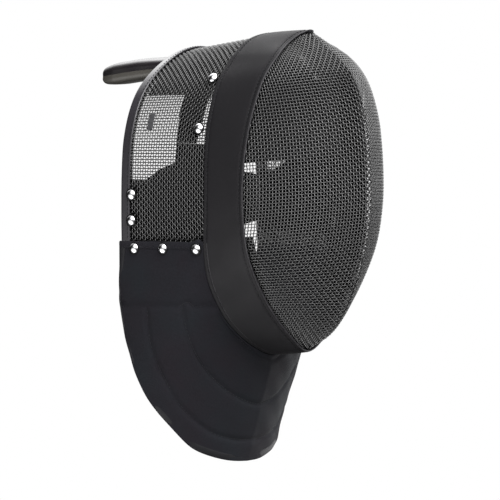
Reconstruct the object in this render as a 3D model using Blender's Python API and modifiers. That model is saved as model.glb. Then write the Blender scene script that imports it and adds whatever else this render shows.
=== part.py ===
"""Fencing mask: a woven wire face and side mesh joined by a cloth trim band, with a quilted bib.

Metres, +Z up. The face looks along -Y and the wearer's left is +X. The tables are measured from
the top centre of the rear rim, forward and up, for one half of the mask. place() moves them to
the origin, which is the point under the crown pad that rests on top of the wearer's head.
"""

import math
from typing import NamedTuple

import bmesh
import bpy
from mathutils import Vector

COLLECTION_NAME = "fencing_mask"

# Where the origin lies, from the top centre of the rear rim.
HEAD_SEAT_FORWARD = -0.075
HEAD_SEAT_HEIGHT = 0.0014

# Walls and gaps.
GAP = 0.0004
WIRE_MESH_THICKNESS = 0.0020
COVER_THICKNESS = 0.0018
COVER_INSET = COVER_THICKNESS + GAP
LINING_INSET = COVER_INSET + WIRE_MESH_THICKNESS + 2 * GAP

# Rear rim binding, a channel that the edge of the side mesh sits in.
RIM_FORWARD = -0.140
RIM_WIDTH = 0.011
RIM_INNER_LIP = 0.009
RIM_GROOVE = WIRE_MESH_THICKNESS + 2 * GAP
RIM_BOTTOM = -0.179

# How far the wire mesh runs under the trim band.
FACE_TUCK = 0.007
SIDE_TUCK_SHARE = 0.16

# How finely the walls are faceted, down the mask and across it.
FACE_LEVELS = 28
FACE_COLUMNS = 8
SIDE_LEVELS = 28
SIDE_COLUMNS = 4
BAND_LEVELS = 40
BAND_COLUMNS = 3
BIB_COLUMNS = 24
BIB_ROWS = 8

# The arc of each section of the face, from the band to the centre crease. It leaves the band at
# an angle that falls from the crown to the chin, is wider still over the crown itself, and meets
# the crease at one that rises.
FACE_EDGE_ANGLE = 76
FACE_CROWN_ANGLE = 40
FACE_CROWN_SHARE = 0.17
FACE_EDGE_ANGLE_FALL = 36
FACE_CREASE_ANGLE = 20
FACE_CREASE_ANGLE_RISE = 20
FACE_ARC_HANDLE = 0.37

SIDE_MESH_BOTTOM = -0.193
YOKE_THICKNESS = 0.0022
QUILT_THICKNESS = 0.0055
YOKE_BOTTOM = -0.196
BIB_CLEARANCE = 0.0007
BIB_CORNER_ROW = 6
QUILT_START = -0.212

RIVET_RADIUS = 0.0050
RIVET_HEIGHT = 0.0030
RIVET_SHANK_RADIUS = 0.0019
RIVET_SHANK_LENGTH = COVER_INSET
RIVET_SEGMENTS = 14
RIVET_CLEARANCE = 0.0008

# The lining. A share runs across the side from the rim (0) to the band (1).
CROWN_PAD_THICKNESS = 0.008
CHEEK_PAD_THICKNESS = 0.010
CHEEK_REAR_SHARE = 0.115
TEMPLE_PAD_THICKNESS = 0.026
TEMPLE_PAD_TOP = -0.108
TEMPLE_PAD_BOTTOM = -0.158
CHIN_PAD_THICKNESS = 0.009
CHIN_PAD_ENDS_THICKNESS = 0.022
CHIN_PAD_TAPER = (-0.200, -0.250)
CHIN_PAD_TOP = -0.172
CHIN_PAD_BOTTOM = -0.290
HOOP_PAD_SETBACKS = (0.033, 0.019, 0.005)
FOREHEAD_PAD_THICKNESS = 0.010
FOREHEAD_PAD_HEIGHTS = (-0.0255, -0.045, -0.064, -0.082, -0.100)
FOREHEAD_PAD_REAR = -0.034
FOREHEAD_PAD_FRONT = 0.002
FOREHEAD_PAD_GAP = 0.0005

TAG_FORWARD = -0.1130
TAG_TOP = -0.0570
TAG_WIDTH = 0.0065
TAG_HEIGHT = 0.0155
TAG_THICKNESS = 0.0008

MIRROR_MERGE = 0.00005


class Edge(NamedTuple):
    """A point on an edge of the mask: half width, forward and up from the rim's top centre."""

    half_width: float
    forward: float
    height: float


class Profile(NamedTuple):
    """A point of the centre crease of the face."""

    forward: float
    height: float


class BibLine(NamedTuple):
    """One line down the bib, from its top edge to its lower edge, and how far it bows out."""

    top: Edge
    bottom: Edge
    bow: float


class TongueSection(NamedTuple):
    """One section across the spring tongue."""

    forward: float
    height: float
    half_width: float
    thickness: float


class PadEdge(NamedTuple):
    """A point of a pad's upper or lower edge: its share of the way to the band, and its height."""

    share: float
    height: float


class Rivet(NamedTuple):
    """Where a rivet sits on the side, and whether it holds the yoke of the bib."""

    forward: float
    height: float
    on_yoke: bool


RIM_ARCH = (
    Edge(0.0000, RIM_FORWARD, 0.0000),
    Edge(0.0180, RIM_FORWARD, -0.0020),
    Edge(0.0360, RIM_FORWARD, -0.0078),
    Edge(0.0540, RIM_FORWARD, -0.0165),
    Edge(0.0700, RIM_FORWARD, -0.0270),
    Edge(0.0830, RIM_FORWARD, -0.0395),
    Edge(0.0925, RIM_FORWARD, -0.0550),
    Edge(0.0988, RIM_FORWARD, -0.0720),
    Edge(0.1027, RIM_FORWARD, -0.0900),
    Edge(0.1046, RIM_FORWARD, -0.1180),
    Edge(0.1050, RIM_FORWARD, -0.1500),
    Edge(0.1046, RIM_FORWARD, -0.1790),
)

BAND_REAR = (
    Edge(0.0000, -0.0460, 0.0170),
    Edge(0.0278, -0.0460, 0.0125),
    Edge(0.0482, -0.0460, 0.0008),
    Edge(0.0610, -0.0458, -0.0108),
    Edge(0.0722, -0.0455, -0.0217),
    Edge(0.0812, -0.0445, -0.0336),
    Edge(0.0881, -0.0430, -0.0464),
    Edge(0.0943, -0.0420, -0.0625),
    Edge(0.0985, -0.0413, -0.0810),
    Edge(0.1006, -0.0410, -0.1080),
    Edge(0.1010, -0.0410, -0.1350),
    Edge(0.1002, -0.0420, -0.1610),
    Edge(0.0978, -0.0440, -0.1870),
    Edge(0.0900, -0.0440, -0.2160),
    Edge(0.0720, -0.0426, -0.2450),
    Edge(0.0520, -0.0410, -0.2640),
    Edge(0.0280, -0.0390, -0.2790),
    Edge(0.0000, -0.0375, -0.2880),
)

BAND_FRONT = (
    Edge(0.0000, 0.0060, 0.0218),
    Edge(0.0110, 0.0020, 0.0188),
    Edge(0.0262, 0.0003, 0.0108),
    Edge(0.0478, 0.0053, 0.0001),
    Edge(0.0688, 0.0050, -0.0210),
    Edge(0.0840, 0.0030, -0.0550),
    Edge(0.0905, 0.0010, -0.0834),
    Edge(0.0940, 0.0000, -0.1100),
    Edge(0.0948, 0.0000, -0.1420),
    Edge(0.0904, 0.0010, -0.1805),
    Edge(0.0787, 0.0025, -0.2090),
    Edge(0.0587, 0.0040, -0.2383),
    Edge(0.0288, 0.0050, -0.2675),
    Edge(0.0000, 0.0045, -0.2835),
)

FACE_CREASE = (
    Profile(0.0170, 0.0120),
    Profile(0.0305, 0.0045),
    Profile(0.0445, -0.0055),
    Profile(0.0570, -0.0175),
    Profile(0.0685, -0.0390),
    Profile(0.0765, -0.0695),
    Profile(0.0805, -0.1050),
    Profile(0.0815, -0.1420),
    Profile(0.0770, -0.1750),
    Profile(0.0690, -0.2030),
    Profile(0.0590, -0.2280),
    Profile(0.0470, -0.2490),
    Profile(0.0300, -0.2670),
)

BIB_LINES = (
    BibLine(Edge(0.1050, -0.1405, -0.1795), Edge(0.1045, -0.1412, -0.2350), 0.000),
    BibLine(Edge(0.1047, -0.1320, -0.1793), Edge(0.1040, -0.1380, -0.2550), 0.001),
    BibLine(Edge(0.1040, -0.1180, -0.1790), Edge(0.1030, -0.1320, -0.2810), 0.002),
    BibLine(Edge(0.1033, -0.1000, -0.1785), Edge(0.1000, -0.1222, -0.3110), 0.003),
    BibLine(Edge(0.1024, -0.0790, -0.1780), Edge(0.0950, -0.1127, -0.3300), 0.004),
    BibLine(Edge(0.1012, -0.0590, -0.1775), Edge(0.0903, -0.1062, -0.3410), 0.004),
    BibLine(Edge(0.0990, -0.0445, -0.1775), Edge(0.0845, -0.1000, -0.3505), 0.003),
    BibLine(Edge(0.0900, -0.0445, -0.2163), Edge(0.0750, -0.0920, -0.3640), 0.000),
    BibLine(Edge(0.0720, -0.0431, -0.2453), Edge(0.0635, -0.0858, -0.3765), -0.004),
    BibLine(Edge(0.0500, -0.0414, -0.2656), Edge(0.0460, -0.0776, -0.3840), -0.003),
    BibLine(Edge(0.0250, -0.0394, -0.2805), Edge(0.0240, -0.0720, -0.3896), -0.001),
    BibLine(Edge(0.0000, -0.0380, -0.2885), Edge(0.0000, -0.0700, -0.3908), 0.000),
)

TONGUE_SECTIONS = (
    TongueSection(-0.0960, -0.0106, 0.0150, 0.0060),
    TongueSection(-0.1120, -0.0142, 0.0190, 0.0075),
    TongueSection(-0.1300, -0.0178, 0.0205, 0.0078),
    TongueSection(-0.1420, -0.0180, 0.0215, 0.0130),
    TongueSection(-0.1550, -0.0190, 0.0215, 0.0165),
    TongueSection(-0.1900, -0.0230, 0.0215, 0.0185),
    TongueSection(-0.2200, -0.0277, 0.0205, 0.0185),
    TongueSection(-0.2340, -0.0300, 0.0165, 0.0155),
    TongueSection(-0.2390, -0.0309, 0.0105, 0.0095),
)

CHEEK_PAD_TOP = (
    PadEdge(CHEEK_REAR_SHARE, -0.1200),
    PadEdge(0.27, -0.1197),
    PadEdge(0.33, -0.1160),
    PadEdge(0.44, -0.1088),
    PadEdge(0.595, -0.1022),
    PadEdge(0.605, -0.0832),
    PadEdge(0.985, -0.0832),
)

CROWN_PAD_EDGE = (
    PadEdge(0.13, -0.0402),
    PadEdge(0.40, -0.0393),
    PadEdge(0.625, -0.0385),
    PadEdge(0.635, -0.0800),
    PadEdge(0.740, -0.0800),
    PadEdge(0.845, -0.0800),
    PadEdge(0.855, -0.0275),
    PadEdge(0.965, -0.0265),
)

RIVETS = (
    Rivet(-0.1265, -0.1340, False),
    Rivet(-0.1265, -0.1590, False),
    Rivet(-0.1230, -0.1852, True),
    Rivet(-0.0890, -0.1842, True),
    Rivet(-0.0509, -0.1832, True),
    Rivet(-0.0525, -0.0225, False),
    Rivet(-0.0505, -0.0690, False),
)

MATERIALS = {
    "wire_mesh": ((0.030, 0.030, 0.032, 1.0), 0.40, 0.6),
    "trim_cloth": ((0.012, 0.011, 0.012, 1.0), 0.75, 0.0),
    "rim_vinyl": ((0.045, 0.045, 0.048, 1.0), 0.35, 0.0),
    "bib_cloth": ((0.012, 0.013, 0.016, 1.0), 0.85, 0.0),
    "lining_cloth": ((0.014, 0.014, 0.015, 1.0), 0.90, 0.0),
    "tag_cloth": ((0.150, 0.150, 0.160, 1.0), 0.70, 0.0),
    "chrome": ((0.800, 0.800, 0.820, 1.0), 0.10, 1.0),
}


# Points and curves


def place(edge: Edge) -> Vector:
    """The point on the wearer's right half, from the object's origin."""
    return Vector(
        (
            -edge.half_width,
            HEAD_SEAT_FORWARD - edge.forward,
            edge.height - HEAD_SEAT_HEIGHT,
        )
    )


def mirrored(point: Vector) -> Vector:
    return Vector((-point.x, point.y, point.z))


def catmull_rom(points, position: float) -> Vector:
    """The smooth curve through points, at a position counted in points from the second one."""
    index = min(int(position), len(points) - 4)
    t = position - index
    a, b, c, d = points[index : index + 4]
    return (
        b
        + (c - a) * (0.5 * t)
        + (a - b * 2.5 + c * 2.0 - d * 0.5) * t**2
        + (b * 1.5 - a * 0.5 - c * 1.5 + d * 0.5) * t**3
    )


def smooth_curve(points, fractions):
    """Points at these fractions of the length of a smooth curve. Its ends on the mirror plane
    cross it at a right angle."""
    first = mirrored(points[1]) if points[0].x == 0 else points[0] * 2 - points[1]
    last = mirrored(points[-2]) if points[-1].x == 0 else points[-1] * 2 - points[-2]
    padded = [first, *points, last]
    steps = 16 * (len(points) - 1)
    fine = [catmull_rom(padded, i / 16) for i in range(steps + 1)]
    lengths = [0.0]
    for start, end in zip(fine, fine[1:]):
        lengths.append(lengths[-1] + (end - start).length)
    found = []
    index = 0
    for fraction in fractions:
        goal = fraction * lengths[-1]
        while index < steps - 1 and lengths[index + 1] < goal:
            index += 1
        share = (goal - lengths[index]) / (lengths[index + 1] - lengths[index])
        found.append(fine[index].lerp(fine[index + 1], share))
    return found


def row_curve(points, columns):
    """Points of a smooth curve at these positions, counted in table rows from its first one."""
    padded = [points[0] * 2 - points[1], *points, mirrored(points[-2])]
    return [catmull_rom(padded, column) for column in columns]


def shares(count: int):
    """Evenly spaced fractions from 0 to 1, with both ends."""
    return [i / count for i in range(count + 1)]


def outward(curve):
    """Unit normals of a hoop's curve, in the plane across the mask, pointing out of it."""
    normals = []
    for i, point in enumerate(curve):
        before = curve[i - 1] if i else mirrored(curve[1]) if point.x == 0 else point
        if i < len(curve) - 1:
            after = curve[i + 1]
        else:
            after = mirrored(curve[-2]) if abs(point.x) < 1e-6 else point
        along = after - before
        normals.append(Vector((along.z, 0.0, -along.x)).normalized())
    return normals


def edge_curve(edges, fractions):
    return smooth_curve([place(edge) for edge in edges], fractions)


def inset(curve, normals, depth: float):
    return [point - normal * depth for point, normal in zip(curve, normals)]


def band_point(front: Vector, rear: Vector, normal: Vector, forward: float, depth: float):
    """A point inside the band, at a distance behind its front edge."""
    share = forward / (rear.y - front.y)
    return front.lerp(rear, share) - normal * depth


def bezier(a: Vector, b: Vector, c: Vector, d: Vector, t: float) -> Vector:
    s = 1 - t
    return a * s**3 + b * (3 * s**2 * t) + c * (3 * s * t**2) + d * t**3


# The side of the mask, from the rim's arch to the band


def fraction_at_height(edges, height: float) -> float:
    """How far down a curve of edges the given height lies, for a curve that only falls."""
    goal = height - HEAD_SEAT_HEIGHT
    fine = edge_curve(edges, shares(400))
    return next(i for i, point in enumerate(fine) if point.z <= goal) / 400


def curve_length(curve) -> float:
    return sum((end - start).length for start, end in zip(curve, curve[1:]))


BAND_REAR_END = fraction_at_height(BAND_REAR, RIM_BOTTOM)
SIDE_LENGTH = curve_length(edge_curve(BAND_REAR, shares(400))) * BAND_REAR_END


def side_lines(fractions):
    """Pairs of points, at the rim and at the band's rear edge, with their outward normals, for
    these fractions of the arch from the crown (0) down to the rim's end (1) and below."""
    arch = edge_curve(RIM_ARCH, shares(200))
    arch_normals = outward(arch)
    hoop = edge_curve(BAND_REAR, shares(400))
    hoop_normals = outward(hoop)
    lines = []
    for fraction in fractions:
        on_arch = round(min(fraction, 1.0) * 200)
        on_hoop = round(fraction * BAND_REAR_END * 400)
        drop = Vector((0, 0, -max(fraction - 1.0, 0.0) * SIDE_LENGTH))
        lines.append(
            (arch[on_arch] + drop, hoop[on_hoop], arch_normals[on_arch], hoop_normals[on_hoop])
        )
    return lines


def side_point(fraction: float, share: float, depth: float) -> Vector:
    """A point inside the side: down the arch, from the rim (0) to the band (1), and inward."""
    start, end, start_normal, end_normal = side_lines([fraction])[0]
    return (start - start_normal * depth).lerp(end - end_normal * depth, share)


def side_at(forward: float, height: float, depth: float):
    """The point of the side at this place, seen from the side, and its outward normal."""
    goal_y = HEAD_SEAT_FORWARD - forward
    goal_z = height - HEAD_SEAT_HEIGHT
    found = []
    for start, end, start_normal, end_normal in side_lines([i / 300 for i in range(340)]):
        share = (start.y - goal_y) / (start.y - end.y)
        point = start.lerp(end, share)
        normal = start_normal.lerp(end_normal, share).normalized()
        found.append((abs(point.z - goal_z), point - normal * depth, normal))
    return min(found, key=lambda each: each[0])[1:]


# Meshes


def make_object(name: str, mesh, material: str):
    """A new object of the mesh, in the mask's collection, with the named material."""
    mesh.materials.append(bpy.data.materials[material])
    mesh.shade_smooth()
    made = bpy.data.objects.new(name, mesh)
    bpy.data.collections[COLLECTION_NAME].objects.link(made)
    return made


def grid_mesh(name: str, rows, closed: bool = False, capped=(False, False)):
    """A mesh through rows of points. A closed grid joins each row's end to its start, and may
    be capped at its first and last row."""
    mesh = bpy.data.meshes.new(name)
    work = bmesh.new()
    grid = [[work.verts.new(point) for point in row] for row in rows]
    width = len(rows[0])
    for upper, lower in zip(grid, grid[1:]):
        for i in range(width if closed else width - 1):
            j = (i + 1) % width
            work.faces.new((upper[i], lower[i], lower[j], upper[j]))
    if capped[0]:
        work.faces.new(grid[0])
    if capped[1]:
        work.faces.new(grid[-1][::-1])
    bmesh.ops.remove_doubles(work, verts=work.verts, dist=MIRROR_MERGE)
    work.to_mesh(mesh)
    work.free()
    return mesh


def add_mirror(made):
    mirror = made.modifiers.new("halves", "MIRROR")
    mirror.use_axis = (True, False, False)
    mirror.merge_threshold = MIRROR_MERGE


def add_wall(made, thickness: float):
    """Thickens an open surface inward, from its outer face."""
    wall = made.modifiers.new("wall", "SOLIDIFY")
    wall.thickness = thickness
    wall.offset = -1.0
    wall.use_even_offset = False
    wall.use_rim = True
    return wall


def add_tapered_wall(made, above: float, below: float, top: float, bottom: float):
    """Mirrors an open surface and thickens it: one thickness above top, another below bottom."""
    most = max(above, below)
    padding = made.vertex_groups.new(name="padding")
    for vertex in made.data.vertices:
        height = vertex.co.z + HEAD_SEAT_HEIGHT
        share = min(max((top - height) / (top - bottom), 0.0), 1.0)
        padding.add([vertex.index], (above + (below - above) * share) / most, "REPLACE")
    add_mirror(made)
    add_wall(made, most).vertex_group = padding.name


def shell(name: str, rows, thickness: float, material: str, both_halves: bool = True):
    """A wall whose outer face is the grid of rows, inward by its thickness."""
    made = make_object(name, grid_mesh(name, rows), material)
    if both_halves:
        add_mirror(made)
    add_wall(made, thickness)
    return made


def mirrored_copy(made, name: str):
    """The same shape on the wearer's left, as an object of its own."""
    mesh = made.data.copy()
    work = bmesh.new()
    work.from_mesh(mesh)
    for vertex in work.verts:
        vertex.co.x = -vertex.co.x
    bmesh.ops.reverse_faces(work, faces=work.faces)
    work.to_mesh(mesh)
    work.free()
    mesh.materials.clear()
    copy = make_object(name, mesh, made.data.materials[0].name)
    for modifier in made.modifiers:
        add_wall(copy, modifier.thickness)
    return copy


# The pieces


def build_face_mesh():
    levels = shares(FACE_LEVELS)
    outline = edge_curve(BAND_FRONT, levels)
    normals = outward(outline)
    edge = inset(outline, normals, COVER_INSET)
    crease_points = [place(Edge(0.0, p.forward, p.height)) for p in FACE_CREASE]
    crease = smooth_curve([edge[0], *crease_points, edge[-1]], levels)
    rows = []
    rear = edge_curve(BAND_REAR, levels)
    for level, start, end, normal, front, back_edge in zip(
        levels, edge, crease, normals, outline, rear
    ):
        tuck = band_point(front, back_edge, normal, FACE_TUCK, COVER_INSET)
        crown = max(1 - level / FACE_CROWN_SHARE, 0.0)
        edge_angle = math.radians(
            FACE_EDGE_ANGLE + FACE_CROWN_ANGLE * crown**2 - FACE_EDGE_ANGLE_FALL * level**4
        )
        chord = (end - start).length
        along = Vector((0, -math.sin(edge_angle), 0)) - normal * math.cos(edge_angle)
        crease_out = Vector((0, start.y - end.y, 0)).normalized() if chord > 1e-4 else Vector()
        crease_angle = math.radians(FACE_CREASE_ANGLE + FACE_CREASE_ANGLE_RISE * level**2)
        back = Vector((-math.cos(crease_angle), 0, 0)) + crease_out * math.sin(crease_angle)
        handle = chord * FACE_ARC_HANDLE
        controls = (start, start + along * handle, end + back * handle, end)
        section = [bezier(*controls, t) for t in shares(FACE_COLUMNS)]
        section[-1].x = 0.0
        rows.append([tuck, *section])
    return shell("face_mesh", rows, WIRE_MESH_THICKNESS, "wire_mesh")


def build_side_mesh():
    last = 1 + (RIM_BOTTOM - SIDE_MESH_BOTTOM) / SIDE_LENGTH
    fractions = [*shares(SIDE_LEVELS), last]
    fronts = edge_curve(BAND_FRONT, [fraction * BAND_REAR_END for fraction in fractions])
    rows = []
    for line, front in zip(side_lines(fractions), fronts):
        start, end, start_normal, end_normal = line
        tuck = end.lerp(front, SIDE_TUCK_SHARE) - end_normal * COVER_INSET
        start = start - start_normal * COVER_INSET
        end = end - end_normal * COVER_INSET
        rear = start + (end - start).normalized() * COVER_INSET
        rows.append([rear.lerp(end, share) for share in shares(SIDE_COLUMNS)] + [tuck])
    return shell("side_mesh", rows, WIRE_MESH_THICKNESS, "wire_mesh")


def build_trim_band():
    levels = shares(BAND_LEVELS)
    rear = edge_curve(BAND_REAR, levels)
    front = edge_curve(BAND_FRONT, levels)
    rows = [
        [start.lerp(end, share) for share in shares(BAND_COLUMNS)]
        for start, end in zip(rear, front)
    ]
    return shell("trim_band", rows, COVER_THICKNESS, "trim_cloth")


def build_rim_binding():
    """A channel along the rear edge of the side mesh."""
    depth = 2 * COVER_THICKNESS + RIM_GROOVE
    round_off = COVER_THICKNESS * 0.5
    profile = (
        (0.0, RIM_WIDTH),
        (0.0, round_off),
        (round_off, 0.0),
        (depth - round_off, 0.0),
        (depth, round_off),
        (depth, RIM_INNER_LIP),
        (depth - COVER_THICKNESS, RIM_INNER_LIP),
        (depth - COVER_THICKNESS, COVER_THICKNESS),
        (COVER_THICKNESS, COVER_THICKNESS),
        (COVER_THICKNESS, RIM_WIDTH),
    )
    rows = []
    for start, end, normal, end_normal in side_lines(shares(SIDE_LEVELS)):
        along = (end - end_normal * COVER_INSET) - (start - normal * COVER_INSET)
        along.normalize()
        rows.append([start - normal * inward + along * forward for inward, forward in profile])
    mesh = grid_mesh("rim_binding", rows[::-1], closed=True, capped=(True, False))
    made = make_object("rim_binding", mesh, "rim_vinyl")
    add_mirror(made)
    return made


def behind_band(point: Vector) -> Vector:
    """The place just behind the band's rear edge that lies nearest to the point."""
    hoop = edge_curve(BAND_REAR, shares(800))
    index = min(range(len(hoop)), key=lambda i: (hoop[i].xz - point.xz).length)
    away = outward(hoop)[index] * GAP
    return hoop[index] + away + Vector((0, BIB_CLEARANCE, 0))


def bib_rows(columns, drops):
    """Rows of points down the outer face of the bib, one for each fraction from its rear edge
    to the front centre, at these fractions of the way from its top edge to its lower edge."""
    last = len(BIB_LINES) - 1
    columns = [column * last for column in columns]
    tops = [
        behind_band(top) if column >= BIB_CORNER_ROW else top
        for top, column in zip(row_curve([place(line.top) for line in BIB_LINES], columns), columns)
    ]
    bottoms = row_curve([place(line.bottom) for line in BIB_LINES], columns)
    bows = row_curve([Vector((0, line.bow, 0)) for line in BIB_LINES], columns)
    rows = []
    for top, bottom, bow in zip(tops, bottoms, bows):
        middle = (top + bottom) / 2
        away = Vector((middle.x, min(middle.y, 0.0), 0)).normalized()
        control = middle + away * (2 * bow.y)
        rows.append(
            [top * (1 - t) ** 2 + control * (2 * t * (1 - t)) + bottom * t**2 for t in drops]
        )
    return rows


def yoke_at(forward: float, height: float):
    """The point of the yoke's outer face at this place, seen from the side, and its normal."""
    goal = place(Edge(0.0, forward, height))
    drops = [share * 0.2 for share in shares(60)]
    rows = bib_rows([share * 0.6 for share in shares(240)], drops)
    found = min(
        ((row, i) for row in range(1, 240) for i in range(1, 60)),
        key=lambda at: (rows[at[0]][at[1]].yz - goal.yz).length,
    )
    row, i = found
    along = rows[row + 1][i] - rows[row - 1][i]
    down = rows[row][i + 1] - rows[row][i - 1]
    normal = down.cross(along).normalized()
    return rows[row][i], normal if normal.x < 0 else -normal


def build_bib():
    """The bib: a thin yoke at the top, and thick quilting below it."""
    rows = bib_rows(shares(BIB_COLUMNS), shares(BIB_ROWS))
    made = make_object("bib", grid_mesh("bib", rows[::-1]), "bib_cloth")
    add_tapered_wall(made, YOKE_THICKNESS, QUILT_THICKNESS, YOKE_BOTTOM, QUILT_START)
    return made


def build_spring_tongue():
    """A flat padded sleeve, lofted through its sections."""
    rows = []
    for section in TONGUE_SECTIONS:
        centre = place(Edge(0.0, section.forward, section.height))
        half_height = section.thickness / 2
        corner = half_height * 0.9
        flat = section.half_width - corner
        ring = []
        for start, side in ((-90, 1), (90, -1)):
            for i in range(5):
                angle = math.radians(start + 45 * i)
                ring.append(
                    centre
                    + Vector((side * flat, 0, 0))
                    + Vector((corner * math.cos(angle), 0, half_height * math.sin(angle)))
                )
        rows.append(ring)
    mesh = grid_mesh("spring_tongue", rows, closed=True, capped=(True, True))
    return make_object("spring_tongue", mesh, "trim_cloth")


def level_at(share: float, height: float) -> float:
    """How far down the arch the side reaches a height, at a share of the way to the band."""
    goal = height - HEAD_SEAT_HEIGHT
    steps = 200
    return next(i for i in range(steps) if side_point(i / steps, share, 0.0).z <= goal) / steps


def build_lining():
    """The pads on the inside of the side and the band."""
    build_crown_pad()
    build_cheek_pads()
    build_forehead_pad()
    build_hoop_pads()


def build_crown_pad():
    """The panel under the crown, with a narrow arm down each side."""
    ends = [level_at(edge.share, edge.height) for edge in CROWN_PAD_EDGE]
    rows = [
        [side_point(end * down, edge.share, LINING_INSET) for end, edge in zip(ends, CROWN_PAD_EDGE)]
        for down in shares(12)
    ]
    shell("crown_pad", rows, CROWN_PAD_THICKNESS, "lining_cloth")


def build_cheek_pads():
    """The pads below the arms, each with an upper edge that steps up to its arm."""
    tops = [level_at(top.share, top.height) for top in CHEEK_PAD_TOP]
    rows = []
    for down in shares(8):
        rows.append(
            [
                side_point(level + (1 - level) * down, top.share, LINING_INSET)
                for level, top in zip(tops, CHEEK_PAD_TOP)
            ]
        )
    right = shell("cheek_pad_right", rows, CHEEK_PAD_THICKNESS, "lining_cloth", both_halves=False)
    mirrored_copy(right, "cheek_pad_left")


def build_hoop_pads():
    """The temple pads and the chin pad, against the inside of the band."""
    levels = shares(200)
    front = edge_curve(BAND_FRONT, levels)
    rear = edge_curve(BAND_REAR, levels)
    normals = outward(front)

    def rows_between(top: float, bottom: float, count: int, forwards, depth: float):
        chosen = [
            i
            for i, point in enumerate(front)
            if bottom - HEAD_SEAT_HEIGHT <= point.z <= top - HEAD_SEAT_HEIGHT
        ]
        picked = [chosen[round(share * (len(chosen) - 1))] for share in shares(count)]
        return [
            [band_point(front[i], rear[i], normals[i], forward, depth) for forward in forwards]
            for i in picked
        ]

    temple = rows_between(
        TEMPLE_PAD_TOP, TEMPLE_PAD_BOTTOM, 4, HOOP_PAD_SETBACKS, LINING_INSET
    )
    right = shell(
        "temple_pad_right", temple, TEMPLE_PAD_THICKNESS, "lining_cloth", both_halves=False
    )
    mirrored_copy(right, "temple_pad_left")
    chin = rows_between(CHIN_PAD_TOP, CHIN_PAD_BOTTOM, 14, HOOP_PAD_SETBACKS, LINING_INSET)
    for point in chin[-1]:
        point.x = 0.0
    made = make_object("chin_pad", grid_mesh("chin_pad", chin), "lining_cloth")
    add_tapered_wall(made, CHIN_PAD_ENDS_THICKNESS, CHIN_PAD_THICKNESS, *CHIN_PAD_TAPER)


def build_forehead_pad():
    """A curved panel across the inside of the forehead, from band to band."""
    levels = shares(200)
    front = edge_curve(BAND_FRONT, levels)
    rear = edge_curve(BAND_REAR, levels)
    normals = outward(front)
    setback = FOREHEAD_PAD_REAR + FOREHEAD_PAD_GAP
    rows = []
    for height in FOREHEAD_PAD_HEIGHTS:
        goal = height - HEAD_SEAT_HEIGHT
        level = next(i for i, point in enumerate(front) if point.z <= goal)
        depth = COVER_INSET + FOREHEAD_PAD_GAP
        start = band_point(front[level], rear[level], normals[level], -setback, depth)
        row = []
        for share in shares(7):
            angle = share * math.pi / 2
            bulge = (FOREHEAD_PAD_FRONT - FOREHEAD_PAD_REAR) * math.sin(angle)
            half = -start.x * math.cos(angle) if share < 1 else 0.0
            height_at = start.z + (goal - start.z) * math.sin(angle)
            row.append(Vector((-half, start.y - bulge, height_at)))
        rows.append(row)
    shell("forehead_pad", rows, FOREHEAD_PAD_THICKNESS, "lining_cloth")


def build_rivet(name: str, rivet: Rivet, side: int):
    """A domed rivet on its shank, turned about the wall's normal."""
    if rivet.on_yoke:
        base, normal = yoke_at(rivet.forward, rivet.height)
    else:
        base, normal = side_at(rivet.forward, rivet.height, 0.0)
    base = base + normal * RIVET_CLEARANCE
    bend = (RIVET_HEIGHT**2 + RIVET_RADIUS**2) / (2 * RIVET_HEIGHT)
    widest = math.asin(RIVET_RADIUS / bend)
    dome = []
    for share in shares(4):
        angle = widest * share
        dome.append((bend * math.sin(angle), bend * math.cos(angle) - bend + RIVET_HEIGHT))
    profile = [*dome]
    if not rivet.on_yoke:
        profile += [(RIVET_SHANK_RADIUS, 0.0), (RIVET_SHANK_RADIUS, -RIVET_SHANK_LENGTH)]
    profile.append((0.0, profile[-1][1]))
    mesh = bpy.data.meshes.new(name)
    edges = [(i, i + 1) for i in range(len(profile) - 1)]
    mesh.from_pydata([(radius, 0.0, z) for radius, z in profile], edges, [])
    made = make_object(name, mesh, "chrome")
    turn = made.modifiers.new("turn", "SCREW")
    turn.steps = turn.render_steps = RIVET_SEGMENTS
    turn.use_merge_vertices = True
    turn.merge_threshold = MIRROR_MERGE
    if side > 0:
        base, normal = mirrored(base), mirrored(normal)
    made.location = base
    made.rotation_mode = "QUATERNION"
    made.rotation_quaternion = Vector((0, 0, 1)).rotation_difference(normal)
    return made


def build_rivets():
    for number, rivet in enumerate(RIVETS, start=1):
        build_rivet(f"rivet_right_{number}", rivet, -1)
        build_rivet(f"rivet_left_{number}", rivet, 1)


def build_side_tag():
    """The small plain tag on the right side mesh."""
    rows = []
    for height in (TAG_TOP, TAG_TOP - TAG_HEIGHT):
        row = []
        for forward in (TAG_FORWARD, TAG_FORWARD + TAG_WIDTH):
            point, _ = side_at(forward, height, COVER_INSET - GAP - TAG_THICKNESS)
            row.append(point)
        rows.append(row)
    shell("side_tag", rows, TAG_THICKNESS, "tag_cloth", both_halves=False)


def clear_scene():
    for old in list(bpy.data.objects):
        bpy.data.objects.remove(old, do_unlink=True)


def make_materials():
    for name, (colour, roughness, metallic) in MATERIALS.items():
        material = bpy.data.materials.new(name)
        material.use_nodes = True
        material.diffuse_color = colour
        shader = material.node_tree.nodes["Principled BSDF"]
        shader.inputs["Base Color"].default_value = colour
        shader.inputs["Roughness"].default_value = roughness
        shader.inputs["Metallic"].default_value = metallic


def main():
    clear_scene()
    collection = bpy.data.collections.new(COLLECTION_NAME)
    bpy.context.scene.collection.children.link(collection)
    make_materials()
    build_face_mesh()
    build_side_mesh()
    build_trim_band()
    build_rim_binding()
    build_bib()
    build_spring_tongue()
    build_lining()
    build_side_tag()
    build_rivets()


main()
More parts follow.
